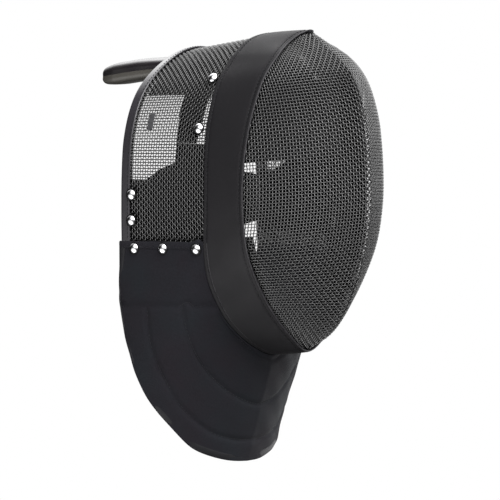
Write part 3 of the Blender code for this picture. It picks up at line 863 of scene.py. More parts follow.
@dataclass
class FaceMesh(WireNet):
    """The woven wire of the face: long wires along the crease, cross wires over the dome."""

    coating: Material
    form: FaceForm
    pitch: float = 0.00310
    base_height: float = -0.1300
    base_slope: float = 0.080
    tuck: float = 0.0050
    fewest_levels: int = 20
    end_share: float = 0.8

    def _long_wires(self) -> list[tuple[int, Array, Array]]:
        """Each long wire's number, with its levels and the steps along it from the base row."""
        wires = []
        last = int((self.form.reach.max() + self.tuck) / self.pitch)
        for number in range(last + 1):
            distance = number * self.pitch
            levels = np.flatnonzero(self.form.reach + self.tuck >= distance).astype(float)
            if len(levels) < self.fewest_levels:
                continue
            column = self.form.column(np.full(len(levels), distance))
            path = self.form.sheet.at(levels, column)
            goal = self.base_height - HEAD_SEAT_HEIGHT - self.base_slope * distance
            steps = lengths_along(path) / self.pitch
            wires.append((number, levels, steps - np.interp(-goal, -path[:, 2], steps)))
        return wires

    def build(self) -> None:
        """Weaves both sets of wires."""
        parts = {Half.RIGHT: MeshParts(), Half.LEFT: MeshParts()}
        levels_at: dict[tuple[int, int], float] = {}
        for number, levels, steps in self._long_wires():
            crossings = np.arange(math.ceil(steps[0]), math.floor(steps[-1]) + 1)
            for crossing, level in zip(crossings, np.interp(crossings, steps, levels)):
                levels_at[number, int(crossing)] = float(level)
            places = np.concatenate([[steps[0]], self.crimped(crossings), [steps[-1]]])
            lifts = np.concatenate([[0.0], self.lifts(crossings + number, self.bend), [0.0]])
            places, keep = np.unique(places.clip(steps[0], steps[-1]), return_index=True)
            level = np.interp(places, steps, levels)
            for half, side in ((Half.RIGHT, 1), (Half.LEFT, -1)):
                if number or half is Half.RIGHT:
                    column = self.form.column(np.full(len(level), side * number * self.pitch))
                    self.wire(parts[half], self.form.sheet, level, column,
                              self.middle + lifts[keep], self.radius)
        cross = self._cross_wires(levels_at)
        for half, made in parts.items():
            self.finish(made, f"face_long_wires_{half.value}", self.coating, "wire_mesh",
                        "face_mesh")
        self.finish(cross, "face_cross_wires", self.coating, "wire_mesh", "face_mesh")

    def _cross_wires(self, levels_at: dict[tuple[int, int], float]) -> MeshParts:
        """Weaves the wires that run from one side of the face to the other.

        Args:
            levels_at: The level of each crossing, by long wire and cross wire.

        Returns:
            The gathered wires.
        """
        parts = MeshParts()
        for row in sorted({crossing for _, crossing in levels_at}):
            numbers = sorted(n for n, crossing in levels_at if crossing == row)
            numbers = [n for i, n in enumerate(numbers) if i == n]
            if len(numbers) < 2:
                continue
            reach = numbers[-1]
            level = np.array([levels_at[n, row] for n in numbers])
            both = np.concatenate([level[:0:-1], level])
            crossings = np.arange(-reach, reach + 1)
            ends = np.array([-reach, reach]) + np.array([-self.end_share, self.end_share])
            places = np.concatenate([ends[:1], crossings, ends[1:]])
            lifts = np.concatenate([[0.0], -self.signs(crossings + row) * self.cross_bend, [0.0]])
            beyond = np.arange(-reach - 1, reach + 2)
            values = np.concatenate([[2 * both[0] - both[1]], both, [2 * both[-1] - both[-2]]])
            levels = np.interp(places, beyond, values).clip(0, len(self.form.reach) - WIRE_END)
            self.wire(parts, self.form.sheet, levels, self.form.column(places * self.pitch),
                      self.middle - self.cross_sink + lifts, self.cross_radius)
        return parts


@dataclass
class SideMesh(WireNet):
    """The woven wire over the crown and down both sides: hoops, and wires from rear to front."""

    coating: Material
    form: SideForm
    band: BandForm
    hoop_pitch: float = 0.00296
    row_pitch: float = 0.00295
    first_hoop: float = 0.0035
    hoops_reach: float = 0.109
    bottom: float = -0.190
    tuck: float = 0.0070
    levels: int = 500
    columns: int = 101
    halves_meet: float = 0.3
    fewest_points: int = 4
    row_start: float = 0.9
    row_end: float = 0.5
    least_step: float = 1e-4

    def _sheet(self) -> tuple[Sheet, Array]:
        """The side as one sheet over both halves, and its fractions down one half."""
        end = 1 + (RIM_BOTTOM - self.bottom) / self.form.length
        fractions = np.linspace(0, end, self.levels)
        outer = self.form.grid(fractions, np.linspace(0, 1, self.columns), COVER_INSET)
        front = blend_rows(self.band.shares, self.band.front, fractions * self.form.hoop_share)
        _, rear, _, _ = self.form.edges(fractions)
        tucked = outer[:, -1] + unit(front - rear) * self.tuck
        return Sheet(over_crown(np.concatenate([outer, tucked[:, None]], axis=1))), fractions

    def _column_at(self, sheet: Sheet, rows: Array, forward: float) -> Array:
        """Finds the column of each row that lies at a distance forward.

        Args:
            sheet: The side's surface.
            rows: The rows, which may lie between its own.
            forward: The distance forward of the rim's top centre.

        Returns:
            One column for each row.
        """
        goal = HEAD_SEAT_FORWARD - forward
        index = rows.clip(0, len(sheet.points) - GRID_END)
        low = index.astype(int)
        share = (index - low)[:, None]
        lines = sheet.points[low, :, 1] * (1 - share) + sheet.points[low + 1, :, 1] * share
        count = np.arange(lines.shape[1])
        return np.array([np.interp(-goal, -line, count) for line in lines])

    def build(self) -> None:
        """Weaves the hoops and the rows."""
        sheet, fractions = self._sheet()
        crown = len(fractions) - 1
        per_row = crown / fractions[-1] / (self.form.length / self.row_pitch)
        last = int(crown / per_row)
        rows = np.arange(-last, last + 1)
        hoops = np.arange(int(self.hoops_reach / self.hoop_pitch) + 1)
        last_column = sheet.points.shape[1] - WIRE_END
        hoop_parts, row_parts = ({half: MeshParts() for half in Half} for _ in range(2))
        columns = np.zeros((len(hoops), len(rows)))
        for hoop in hoops:
            forward = RIM_FORWARD + self.first_hoop + hoop * self.hoop_pitch
            columns[hoop] = self._column_at(sheet, crown + rows * per_row, forward)
            places = self.crimped(rows)
            lifts = self.middle + self.lifts(rows + hoop, self.bend)
            for half, chosen in ((Half.RIGHT, places > -self.halves_meet),
                                 (Half.LEFT, places < self.halves_meet)):
                at = crown + places[chosen] * per_row
                column = self._column_at(sheet, at, forward)
                shown = np.flatnonzero(column < last_column)
                for run in np.split(shown, np.flatnonzero(np.diff(shown) > 1) + 1):
                    if len(run) >= self.fewest_points:
                        self.wire(hoop_parts[half], sheet, at[run], column[run],
                                  lifts[chosen][run], self.radius)
        places = np.concatenate([[-self.row_start], self.crimped(hoops),
                                 [hoops[-1] + self.row_end]])
        for i, row in enumerate(rows):
            lifts = np.concatenate([[0.0], -self.lifts(hoops + row, self.cross_bend), [0.0]])
            column = np.interp(places, hoops, columns[:, i])
            column[0] = columns[0, i] - (columns[1, i] - columns[0, i]) * self.row_start
            keep = np.concatenate([[True], np.diff(column) > self.least_step])
            keep &= column < last_column
            at = np.full(keep.sum(), crown + row * per_row)
            self.wire(row_parts[Half.RIGHT if row >= 0 else Half.LEFT], sheet, at,
                      column[keep].clip(0, last_column), self.middle + lifts[keep], self.radius)
        for label, gathered in (("hoops", hoop_parts), ("rows", row_parts)):
            for half, made in gathered.items():
                self.finish(made, f"side_{label}_{half.value}", self.coating, "wire_mesh",
                            "side_mesh")


# Cloth, binding and padding


@dataclass
class StitchLine:
    """Short raised stitches along a line of cloth."""

    length: float = 0.0026
    gap: float = 0.0012
    radius: float = 0.00028
    sides: int = 5
    shape: tuple[float, ...] = (0.0, 0.2, 0.5, 0.8, 1.0)
    rise: tuple[float, ...] = (-0.6, 0.45, 0.75, 0.45, -0.6)

    def add(self, parts: MeshParts, line: Array, normals: Array) -> None:
        """Sews along a line.

        Args:
            parts: Where the stitches are gathered.
            line: The points of the line, on the cloth.
            normals: The outward direction at each point.
        """
        far = lengths_along(line)
        step = self.length + self.gap
        rise = np.array(self.rise)[:, None] * self.radius
        for start in np.arange(self.gap, far[-1] - step, step):
            at = start + np.array(self.shape) * self.length
            out = unit(blend_rows(far, normals, at))
            parts.add_tube(blend_rows(far, line, at) + out * rise, out, self.radius, self.sides)


@dataclass
class TrimBand(Piece):
    """The wide cloth band over the joint, with its piped edges, edge cords and stitching. The edge
    cords share a pale finish that partly paints the highlight along the band's edges.
    """

    cloth: Material
    # Pale finish of the edge cords: partly their own cloth, partly painted highlight along the
    # band's edges.
    piping_and_painted_highlight: Material
    thread: Material
    form: BandForm
    width: float = 0.045
    edge_share: float = 0.12
    edge_columns: int = 9
    middle_share: float = 0.16
    middle_columns: int = 14
    inner_step: int = 4
    girth_column: int = 10
    crown: float = 0.0007
    crown_shape: float = 0.5
    seams: tuple[float, float] = (0.078, 0.925)
    fold_depth: float = 0.0004
    fold_width: float = 0.0011
    piping_radius: float = 0.0009
    rear_piping_radius: float = 0.00072
    piping_inset: float = 0.0009
    cord_across: float = 0.095
    cord_radius: float = 0.0007
    cord_top: float = -0.1780
    cord_rise: float = 0.0002
    cord_sides: int = 8
    thread_rise: float = 0.0001
    knot_turns: int = 6
    knot_radius: float = 0.0013
    knot_width: float = 0.0095
    knot_ends: float = 0.1
    knot_taper: float = 0.6
    knot_thread: float = 0.0006
    knot_points: int = 240
    knot_sides: int = 6
    knot_seat: tuple[float, float, float] = (0.0, -0.0004, -0.0014)

    def _surface(self) -> MeshParts:
        """The band itself, slightly crowned, with a sewn fold near each edge."""
        shares = np.concatenate([
            np.linspace(0, self.edge_share, self.edge_columns),
            np.linspace(self.middle_share, 1 - self.middle_share, self.middle_columns),
            np.linspace(1 - self.edge_share, 1, self.edge_columns)])
        lift = self.crown * np.sin(np.pi * shares) ** self.crown_shape
        for seam in self.seams:
            away = (shares - seam) * self.width / self.fold_width
            lift -= self.fold_depth * np.exp(-(away**2))
        inner_shares = shares[::-self.inner_step]
        rows = [self.form.line(share, -raised) for share, raised in zip(shares, lift)]
        rows += [self.form.line(share, COVER_THICKNESS) for share in inner_shares]
        ring = both_halves(np.stack(rows, axis=1))
        flats = flat_map(lengths_along(ring[:, self.girth_column]),
                         np.concatenate([shares, inner_shares]) * self.width)
        return MeshParts().add_grid(ring, wrap_rows=True, wrap_columns=True, flats=flats)

    def _cord(self, name: str, line: Array, normals: Array, radius: float) -> None:
        """Lays one covered cord.

        Args:
            name: The cord's name.
            line: The points of its centre line.
            normals: The outward direction at each point.
            radius: Its radius.
        """
        cord = MeshParts().add_tube(line, normals, radius, self.cord_sides)
        self.finish(cord, name, self.piping_and_painted_highlight, "trim_cloth")

    def build(self) -> None:
        """Makes the band, its cords, the knot and the stitches."""
        band = self.finish(self._surface(), "trim_band_cloth", self.cloth, "trim_cloth",
                           "trim_band", closed=True)
        ring_length = float(lengths_along(both_halves(self.form.line(0.5, 0.0)))[-1])
        for name, across, radius in (("front", 1.0, self.piping_radius),
                                     ("rear", 0.0, self.rear_piping_radius)):
            line, normals = (np.concatenate([ring, ring[:1]]) for ring in (
                both_halves(self.form.line(across, self.piping_inset)),
                both_halves(self.form.out(across))))
            self._cord(f"trim_piping_{name}", line, normals, radius)
        line = self.form.line(self.cord_across, self.cord_rise)
        low = line[:, 2] < self.cord_top
        self._cord("trim_cord_lower", round_chin(line[low]),
                   round_chin(self.form.out(self.cord_across)[low]), self.cord_radius)
        self._knot()
        sewn = MeshParts()
        for across in self.seams:
            line = both_halves(self.form.line(across, -self.thread_rise))
            StitchLine().add(sewn, line, both_halves(self.form.out(across)))
        self.finish(sewn, "trim_stitches", self.thread, "trim_cloth")

    def _knot(self) -> None:
        """Wraps the small binding thread round the band's front edge at the top."""
        along = np.linspace(0, 1, self.knot_points)
        turn = 2 * math.pi * self.knot_turns * along
        ways = np.stack([np.zeros(self.knot_points), np.cos(turn), np.sin(turn)], axis=1)
        taper = np.sin(math.pi * along).clip(self.knot_ends) ** self.knot_taper
        swell = self.knot_radius * taper
        path = self.form.line(1.0, 0.0)[0] + np.array(self.knot_seat) + ways * swell[:, None]
        path[:, 0] += (along - 0.5) * self.knot_width
        coil = MeshParts().add_tube(path, ways, self.knot_thread, self.knot_sides)
        self.finish(coil, "trim_knot", self.thread, "trim_cloth")


@dataclass
class RimBinding(Piece):
    """The satin channel along the rear edge of the side mesh."""

    vinyl: Material
    thread: Material
    form: SideForm
    steps: int = 260
    width: float = RIM_WIDTH
    thickness: float = COVER_THICKNESS
    inner_lip: float = 0.0090
    groove: float = 0.0028
    turn_share: float = 0.8
    turn_points: int = 13
    outer_points: int = 8
    inner_points: int = 6
    lip_step: float = 0.001
    lip_shares: tuple[float, float] = (0.6, 0.5)
    seam_inset: float = 0.0022
    point_gap: float = 0.001

    def _section(self) -> tuple[Array, Array]:
        """How far forward and how far inward each point of the channel's section lies."""
        depth = 2 * self.thickness + self.groove
        turn = depth / 2
        reach = turn * self.turn_share
        arc = np.radians(np.linspace(-90, 90, self.turn_points)[1:-1])
        lip, inner = self.inner_lip, depth - self.thickness
        across = (np.linspace(self.width, reach, self.outer_points),
                  reach - np.cos(arc) * reach,
                  np.linspace(reach, lip, self.inner_points), [lip, lip - self.lip_step],
                  [self.thickness, self.thickness, self.width - self.lip_step, self.width])
        inward = (np.zeros(self.outer_points), turn + np.sin(arc) * turn,
                  np.full(self.inner_points, depth),
                  [depth - self.thickness * self.lip_shares[0], inner],
                  [inner, self.thickness, self.thickness, self.thickness * self.lip_shares[1]])
        return np.concatenate(across), np.concatenate(inward)

    def build(self) -> None:
        """Makes the channel with rounded edges, and the thread along it."""
        at_rim, at_band, out, band_out = self.form.edges(np.linspace(0, 1.0, self.steps))
        along = unit((at_band - band_out * COVER_INSET) - (at_rim - out * COVER_INSET))
        across, inward = self._section()
        right = (at_rim[:, None] - out[:, None] * inward[None, :, None]
                 + along[:, None] * across[None, :, None])
        whole = capped(over_crown(right))
        flats = flat_map(lengths_along(whole[:, 0]),
                         np.arange(1, len(across) + 1) * self.point_gap)
        self.finish(MeshParts().add_grid(whole, wrap_columns=True, flats=flats), "rim_channel",
                    self.vinyl, "rim_vinyl", "rim_binding", closed=True)
        sewn = MeshParts()
        StitchLine().add(sewn, over_crown(at_rim + along * (self.width - self.seam_inset)),
                         over_crown(out))
        self.finish(sewn, "rim_stitches", self.thread, "rim_vinyl")


class Wave(NamedTuple):
    """A ripple through space: how fast it turns along z, x and y, and where it starts."""

    z: float
    x: float
    y: float = 0.0
    start: float = 0.0

    def at(self, points: Array) -> Array:
        """How high it stands at these points, from -1 to 1."""
        x, y, z = points[..., 0], points[..., 1], points[..., 2]
        return np.sin(z * self.z + x * self.x + y * self.y + self.start)


@dataclass
class Quilt:
    """How the bib puffs between its seams, and how uneven its padding is."""

    groove: float = 0.0015
    groove_width: float = 0.0030
    puff: float = 0.0009
    puff_width: float = 0.0150
    broad: float = 0.00035
    broad_waves: tuple[Wave, Wave] = (Wave(61.0, 83.0), Wave(97.0, 0.0, -71.0, 1.3))
    fine: float = 0.0002
    fine_wave: Wave = Wave(211.0, 160.0, 120.0)

    def lift(self, points: Array, distance: Array) -> Array:
        """How far the cloth stands out.

        Args:
            points: Places on the bib.
            distance: How far each of them lies from the nearest seam.

        Returns:
            The lift at each place.
        """
        dent = np.exp(-((distance / self.groove_width) ** 2)) * self.groove
        lift = self.puff * (1 - np.exp(-distance / self.puff_width)) - dent
        broad = self.broad_waves[0].at(points) * self.broad_waves[1].at(points)
        return lift + (self.broad * broad + self.fine * self.fine_wave.at(points))


class FoldPoint(NamedTuple):
    """A point of a fold: how far in from the cloth's edge and how far out of its outer face,
    from the outer face (0) or the inner face (1).
    """

    inset: float
    lift: float
    face: float


TAPE_FOLD = table(
    FoldPoint,
    (0.0070, 0.0002, 0), (0.0060, 0.0006, 0), (0.0035, 0.0007, 0), (0.0008, 0.0006, 0),
    (-0.0004, 0.0, 0), (-0.0008, 0.0, 0.5), (-0.0004, 0.0, 1), (0.0008, -0.0006, 1),
    (0.0060, -0.0006, 1), (0.0070, -0.0002, 1), (0.0068, 0.0004, 1), (0.0068, -0.0004, 0))

HEM_WIDTH = 0.0065
FOLD_STEP = 0.002  # the flat cloth between two points of a fold
HEM_FOLD = table(
    FoldPoint,
    (HEM_WIDTH, 0.0, 0), (HEM_WIDTH - 0.0006, 0.0006, 0), (HEM_WIDTH * 0.5, 0.0008, 0),
    (0.0006, 0.0007, 0), (-0.0006, 0.0, 0), (-0.0008, 0.0, 0.5), (-0.0006, 0.0, 1),
    (0.0006, -0.0003, 1), (HEM_WIDTH, -0.0003, 1), (HEM_WIDTH, -0.0006, 0))


def folded(fold: Sequence[FoldPoint], edge: Array, into: Array, normals: Array,
           thickness: Array | float) -> tuple[Array, Array]:
    """A strip of cloth folded over an edge.

    Args:
        fold: The points of its section.
        edge: The line of the edge.
        into: The way in from the edge, at each point of it.
        normals: The outward direction there.
        thickness: How thick the cloth under it is.

    Returns:
        The grid of the strip's points, and where they lie on the flat cloth.
    """
    strip = capped(np.stack([
        edge + into * inset + normals * (lift - thickness * face) for inset, lift, face in fold],
        axis=1))
    return strip, flat_map(lengths_along(strip[:, 0]), np.arange(len(fold)) * FOLD_STEP)


@dataclass
class Bib(Piece):
    """The quilted bib with its thin yoke, seams, bound edges and stitching."""

    cloth: Material
    tape: Material
    thread: Material
    form: BibForm
    across_steps: int = 130
    down_steps: int = 120
    seam_steps: int = 24
    seam_chunks: int = 12
    seam_stride: int = 6
    girth_column: int = 40
    length: float = 0.17
    quilt: Quilt = field(default_factory=Quilt)
    yoke_bottom: float = -0.196
    quilt_start: float = -0.208
    hem_seam: float = 0.0018
    hem_rise: float = 0.0006
    hem_end: float = 0.1
    join_radius: float = 0.0013
    join_depth: float = 0.0012
    join_sides: int = 8
    thread_radius: float = 0.00022
    thread_depth: float = 0.0019
    eased_share: float = 0.18
    easings: int = 60
    inside: tuple[float, float, float] = (0.0, 0.02, -0.28)

    def seam_lines(self) -> list[Array]:
        """The quilting seams as points on the bib's outer face, on the wearer's right."""
        lines = []
        for seam in BIB_SEAMS:
            points = extended(np.array(seam))
            at = np.linspace(0, len(seam) - 1, self.seam_steps * (len(seam) - 1) + 1)
            path = spline(np.hstack([points, points[:, :1]]), at)[:, :2].clip(0, 1)
            lines.append(np.array([self.form.grid(spot[:1], spot[1:])[0, 0] for spot in path]))
        return lines

    def _to_quilt(self, outer: Array) -> Array:
        """How far each point of the outer face is past the yoke (0) and in the quilt (1)."""
        height = outer[..., 2] + HEAD_SEAT_HEIGHT
        return ((self.yoke_bottom - height) / (self.yoke_bottom - self.quilt_start)).clip(0, 1)

    def _row(self, corner: float) -> int:
        """The row of the outer face at a place counted in the bib's lines."""
        return int(self.across_steps * corner / (len(BIB_LINES) - 1))

    def build(self) -> None:
        """Makes the quilted cloth, the tape round its edges, its hems and its stitches."""
        down = np.linspace(0, 1, self.down_steps + 1)
        base = self._eased(self.form.grid(np.linspace(0, 1, self.across_steps + 1), down), down)
        base[-1, :, 0] = 0.0
        sheet = Sheet(round_chin(base), np.array(self.inside))
        whole = sheet.points
        to_quilt = self._to_quilt(whole)
        thickness = YOKE_THICKNESS + (QUILT_THICKNESS - YOKE_THICKNESS) * to_quilt
        seams = self.seam_lines()
        seams += [mirrored(seam) for seam in seams]
        nearest = np.full(whole.shape[:2], 1.0)
        for chunk in np.array_split(np.concatenate(seams), self.seam_chunks):
            gaps = np.linalg.norm(whole[:, :, None] - chunk, axis=3).min(axis=2)
            nearest = np.minimum(nearest, gaps)
        lift = self.quilt.lift(whole, nearest) * to_quilt
        outer = whole + sheet.normals * lift[..., None]
        inner = whole - sheet.normals * thickness[..., None]
        flats = flat_map(lengths_along(whole[:, self.girth_column]), down * self.length)
        flats = np.concatenate([flats, flats[:, ::-1]], axis=1)
        quilt = MeshParts().add_grid(capped(np.concatenate([outer, inner[:, ::-1]], axis=1)),
                                     wrap_columns=True,
                                     flats=np.concatenate([flats[:1], flats, flats[-1:]]))
        made = self.finish(quilt, "bib_quilt", self.cloth, "bib_cloth", "bib", closed=True)
        self._bind(sheet, thickness)
        self._join(sheet)
        self._hem(sheet)
        self._sew(seams, sheet)

    def _join(self, sheet: Sheet) -> None:
        """Fills the joint between the bib's upper edge and the band with a covered cord.

        Args:
            sheet: The bib's outer face.
        """
        first = self._row(self.form.corner_row)
        rows = np.arange(first, len(sheet.points) - first)
        normals = sheet.normals[rows, 0]
        line = sheet.points[rows, 0] - normals * self.join_depth
        cord = MeshParts().add_tube(line, normals, self.join_radius, self.join_sides)
        self.finish(cord, "bib_joint", self.cloth, "bib_cloth")

    def _hem(self, sheet: Sheet) -> None:
        """Folds a hem over the yoke's upper edge on each side, and sews it down.

        Args:
            sheet: The bib's outer face.
        """
        rows = np.arange(self._row(self.form.corner_row - self.hem_end) + 1)
        edge, normals = sheet.points[rows, 0], sheet.normals[rows, 0]
        down = unit(np.cross(unit(np.gradient(edge, axis=0)), normals))
        down *= np.where(down[:, 2:] > 0, -1.0, 1.0)
        section, flats = folded(HEM_FOLD, edge, down, normals, YOKE_THICKNESS)
        parts, sewn = MeshParts(), MeshParts()
        line = edge + down * (HEM_WIDTH - self.hem_seam) + normals * self.hem_rise
        for half in Half:
            parts.add_grid(half.of(section), wrap_columns=True, flats=flats)
            StitchLine(radius=self.thread_radius).add(sewn, half.of(line), half.of(normals))
        self.finish(parts, "bib_hem", self.cloth, "bib_cloth", closed=True)
        self.finish(sewn, "bib_hem_stitches", self.thread, "bib_cloth")

    def _eased(self, base: Array, down: Array) -> Array:
        """Evens out the fold below the corner of the yoke, but not the edges.

        Args:
            base: The bib's outer face, which is changed.
            down: The share from the upper to the lower edge, for each column.

        Returns:
            The same face.
        """
        share = np.clip(down / self.eased_share, 0, 1)[None, :, None]
        for _ in range(self.easings):
            middle = (base[:-2] + 2 * base[1:-1] + base[2:]) / 4
            base[1:-1] += (middle - base[1:-1]) * share
        return base

    def _bind(self, sheet: Sheet, thickness: Array) -> None:
        """Folds tape over the rear and lower edges.

        Args:
            sheet: The bib's outer face.
            thickness: How thick the bib is at each point.
        """
        whole = sheet.points
        rows, columns = (np.arange(count) for count in whole.shape[:2])
        for name, row, column, inward in (
                ("rear_right", columns * 0, columns, (1, 0)),
                ("rear_left", columns * 0 + rows[-1], columns, (-1, 0)),
                ("lower", rows, rows * 0 + columns[-1], (0, -1))):
            edge, normals = whole[row, column], sheet.normals[row, column]
            away = whole[row + inward[0], column + inward[1]] - edge
            into = unit(away - normals * (away * normals).sum(-1)[:, None])
            section, flats = folded(TAPE_FOLD, edge, into, normals,
                                    thickness[row, column][:, None])
            parts = MeshParts().add_grid(section, wrap_columns=True, flats=flats)
            self.finish(parts, f"bib_binding_{name}", self.tape, "bib_cloth", closed=True)

    def _sew(self, seams: list[Array], sheet: Sheet) -> None:
        """Stitches along the seams.

        Args:
            seams: The seams on both sides.
            sheet: The bib's outer face.
        """
        points, normals = sheet.points.reshape(-1, 3), sheet.normals.reshape(-1, 3)
        sewn = MeshParts()
        for seam in seams:
            at = np.arange(0, len(seam), self.seam_stride)
            index = [int(np.argmin(((points - spot) ** 2).sum(axis=1))) for spot in seam[at]]
            out = unit(blend_rows(at, normals[index], np.arange(len(seam))))
            StitchLine(radius=self.thread_radius).add(sewn, seam - out * self.thread_depth, out)
        self.finish(sewn, "bib_stitches", self.thread, "bib_cloth")


@dataclass
class Pad:
    """A soft pad on the inside of a wall: flat on the wall, crowned and rolled at its edges."""

    thickness: float | Array
    roll: float = 0.0050
    seam_inset: float = 0.0060
    seam_width: float = 0.0012
    seam_depth: float = 0.0012
    edge_share: float = 0.25
    crown_share: float = 0.12
    crown_width: float = 0.03

    def make(self, base: Array, inward: Array) -> MeshParts:
        """Makes the pad over a grid.

        Args:
            base: The grid of points against the wall.
            inward: The direction away from the wall at each point.

        Returns:
            The pad's mesh.
        """
        u, v = self._from_edge(base, 0), self._from_edge(base, 1)
        edge = np.minimum(u, v)
        rise = np.sqrt(np.clip(1 - (1 - np.clip(edge / self.roll, 0, 1)) ** 2, 0, 1))
        dent = np.exp(-(((edge - self.seam_inset) / self.seam_width) ** 2)) * self.seam_depth
        crown = self.crown_share * np.clip(edge / self.crown_width, 0, 1)
        full = 1 - self.edge_share - self.crown_share + crown
        top = base + inward * (self.thickness * (self.edge_share + full * rise) - dent)[..., None]
        middle = ((top + base) / 2)[[0, -1]]
        ring, flats, ends = (np.concatenate([front, back[:, ::-1]], axis=1) for front, back in (
            (top, base), (np.stack([u, v], -1),) * 2, (middle, middle)))
        ring = np.concatenate([ends[:1], ring, ends[1:]])
        flats = np.concatenate([flats[:1], flats, flats[-1:]])
        return MeshParts().add_grid(ring, wrap_columns=True, flats=flats)

    @staticmethod
    def _from_edge(base: Array, axis: int) -> Array:
        """How far each point of a grid lies from the nearer of two opposite edges.

        Args:
            base: The grid of points.
            axis: The axis between them, 0 for rows and 1 for columns.

        Returns:
            One distance for each point.
        """
        steps = np.linalg.norm(np.diff(base, axis=axis), axis=2)
        far = np.concatenate([np.zeros_like(steps.take([0], axis=axis)), steps.cumsum(axis)], axis)
        return np.minimum(far, far.take([-1], axis=axis) - far)


@dataclass
class Lining(Piece):
    """The pads inside the crown, the cheeks, the temples, the forehead and the chin."""

    cloth: Material
    side: SideForm
    band: BandForm
    fill: float = 0.6
    crown_thickness: float = 0.0080
    crown_grid: tuple[int, int] = (62, 120)
    crown_thinned: float = 0.6
    crown_thinned_share: float = 0.2
    cheek_thickness: float = 0.0100
    cheek_grid: tuple[int, int] = (60, 110)
    temple_thickness: float = 0.0290
    temple_fill: float = 0.8
    temple_heights: tuple[float, float] = (-0.108, -0.158)
    temple_rows: int = 40
    temple_reach: float = 0.0015
    chin_thickness: float = 0.0090
    chin_ends_thickness: float = 0.0235
    chin_taper: tuple[float, float] = (-0.200, -0.250)
    chin_heights: tuple[float, float] = (-0.1710, -0.2835)
    chin_rows: int = 90
    chin_reach: float = 0.005
    hoop_columns: int = 26
    hoop_setback: float = 0.033
    forehead_thickness: float = 0.0100
    forehead_heights: tuple[float, float] = (-0.0255, -0.100)
    forehead_grid: tuple[int, int] = (44, 40)
    forehead_setback: float = 0.0345
    forehead_bulge: float = 0.036
    forehead_gap: float = 0.0005
    forehead_inside: tuple[float, float, float] = (0.0, 0.0, -0.07)

    def _pad(self, name: str, node: str, thickness: float | Array, base: Array, inward: Array,
             fill: float) -> None:
        """Makes one pad.

        Args:
            name: The piece's name.
            node: The node that it stands for.
            thickness: How thick it swells.
            base: The grid of points against the wall.
            inward: The direction away from the wall at each point.
            fill: How tightly it is filled; not used.
        """
        made = self.finish(Pad(thickness).make(base, inward), name, self.cloth, "lining_cloth",
                           node, closed=True)

    def build(self) -> None:
        """Makes every pad."""
        self._crown()
        self._cheeks()
        self._temples()
        self._chin()
        self._forehead()

    def _columns(self, edges: Sequence[PadEdge], size: tuple[int, int],
                 above: bool) -> tuple[Array, Array]:
        """A grid against the side's wall that begins or ends at a pad's edge.

        Args:
            edges: The pad's stepped edge.
            size: How many rows and columns there are.
            above: Whether the pad lies above that edge, from the crown, or below it.

        Returns:
            The grid, and the way inward at each point.
        """
        rows, columns = size
        shares = np.linspace(edges[0].share, edges[-1].share, columns)
        levels = np.interp(shares, [edge.share for edge in edges],
                           [self.side.level_at(edge) for edge in edges])
        down = np.linspace(0, 1, rows)
        grid, inward = [], []
        for share, level in zip(shares, levels):
            fractions = level * down if above else level + (1.0 - level) * down
            grid.append(self.side.grid(fractions, np.array([share]), LINING_INSET)[:, 0])
            inward.append(self.side.inward(fractions, np.array([share]))[:, 0])
        return np.stack(grid, axis=1), np.stack(inward, axis=1)

    def _crown(self) -> None:
        """The panel under the crown with the arm down each side."""
        grid, inward = map(over_crown, self._columns(CROWN_PAD_EDGE, self.crown_grid, True))
        first = 1 - 1 / self.crown_thinned_share
        lower = np.linspace(first, 1, self.crown_grid[0]).clip(0)
        thinned = 1 - self.crown_thinned * lower**2
        thinned = np.concatenate([thinned[:0:-1], thinned])[:, None]
        self._pad("crown_lining", "crown_pad", self.crown_thickness * thinned, grid, inward,
                  self.fill)

    def _cheeks(self) -> None:
        """The pads below the arms, each with a stepped upper edge."""
        grid, inward = self._columns(CHEEK_PAD_TOP, self.cheek_grid, False)
        for half in Half:
            self._pad(f"cheek_lining_{half.value}", f"cheek_pad_{half.value}",
                      self.cheek_thickness, half.of(grid), half.of(inward), self.fill)

    def _hoop_grid(self, heights: tuple[float, float], rows: int,
                   setback: float) -> tuple[Array, Array]:
        """A grid against the inside of the band.

        Args:
            heights: The first and the last height.
            rows: How many rows lie between them.
            setback: How far behind the band's front edge the last column lies.

        Returns:
            The grid, and the way inward at each point.
        """
        first, last = self.band.steps_at(heights)
        front, rear, normal = self.band.edges(
            np.linspace(first, min(last, self.band.steps), rows))
        normal = unit(normal)[:, None]
        setbacks = np.linspace(self.hoop_setback, setback, self.hoop_columns)
        share = setbacks[None, :] / (rear[:, 1] - front[:, 1])[:, None]
        grid = front[:, None] + (rear - front)[:, None] * share[..., None]
        return grid - normal * LINING_INSET, -normal.repeat(self.hoop_columns, axis=1)

    def _temples(self) -> None:
        """The thick temple pads beside the face."""
        grid, inward = self._hoop_grid(self.temple_heights, self.temple_rows, self.temple_reach)
        for half in Half:
            self._pad(f"temple_lining_{half.value}", f"temple_pad_{half.value}",
                      self.temple_thickness, half.of(grid), half.of(inward), self.temple_fill)

    def _chin(self) -> None:
        """The pad round the chin, thicker at its ends."""
        grid, inward = map(round_chin, self._hoop_grid(
            self.chin_heights, self.chin_rows, self.chin_reach))
        heights = grid[..., 2] + HEAD_SEAT_HEIGHT
        share = ((self.chin_taper[0] - heights) / np.ptp(self.chin_taper)).clip(0, 1)
        thickness = self.chin_ends_thickness * (1 - share) + self.chin_thickness * share
        self._pad("chin_lining", "chin_pad", thickness, grid, inward, self.fill)

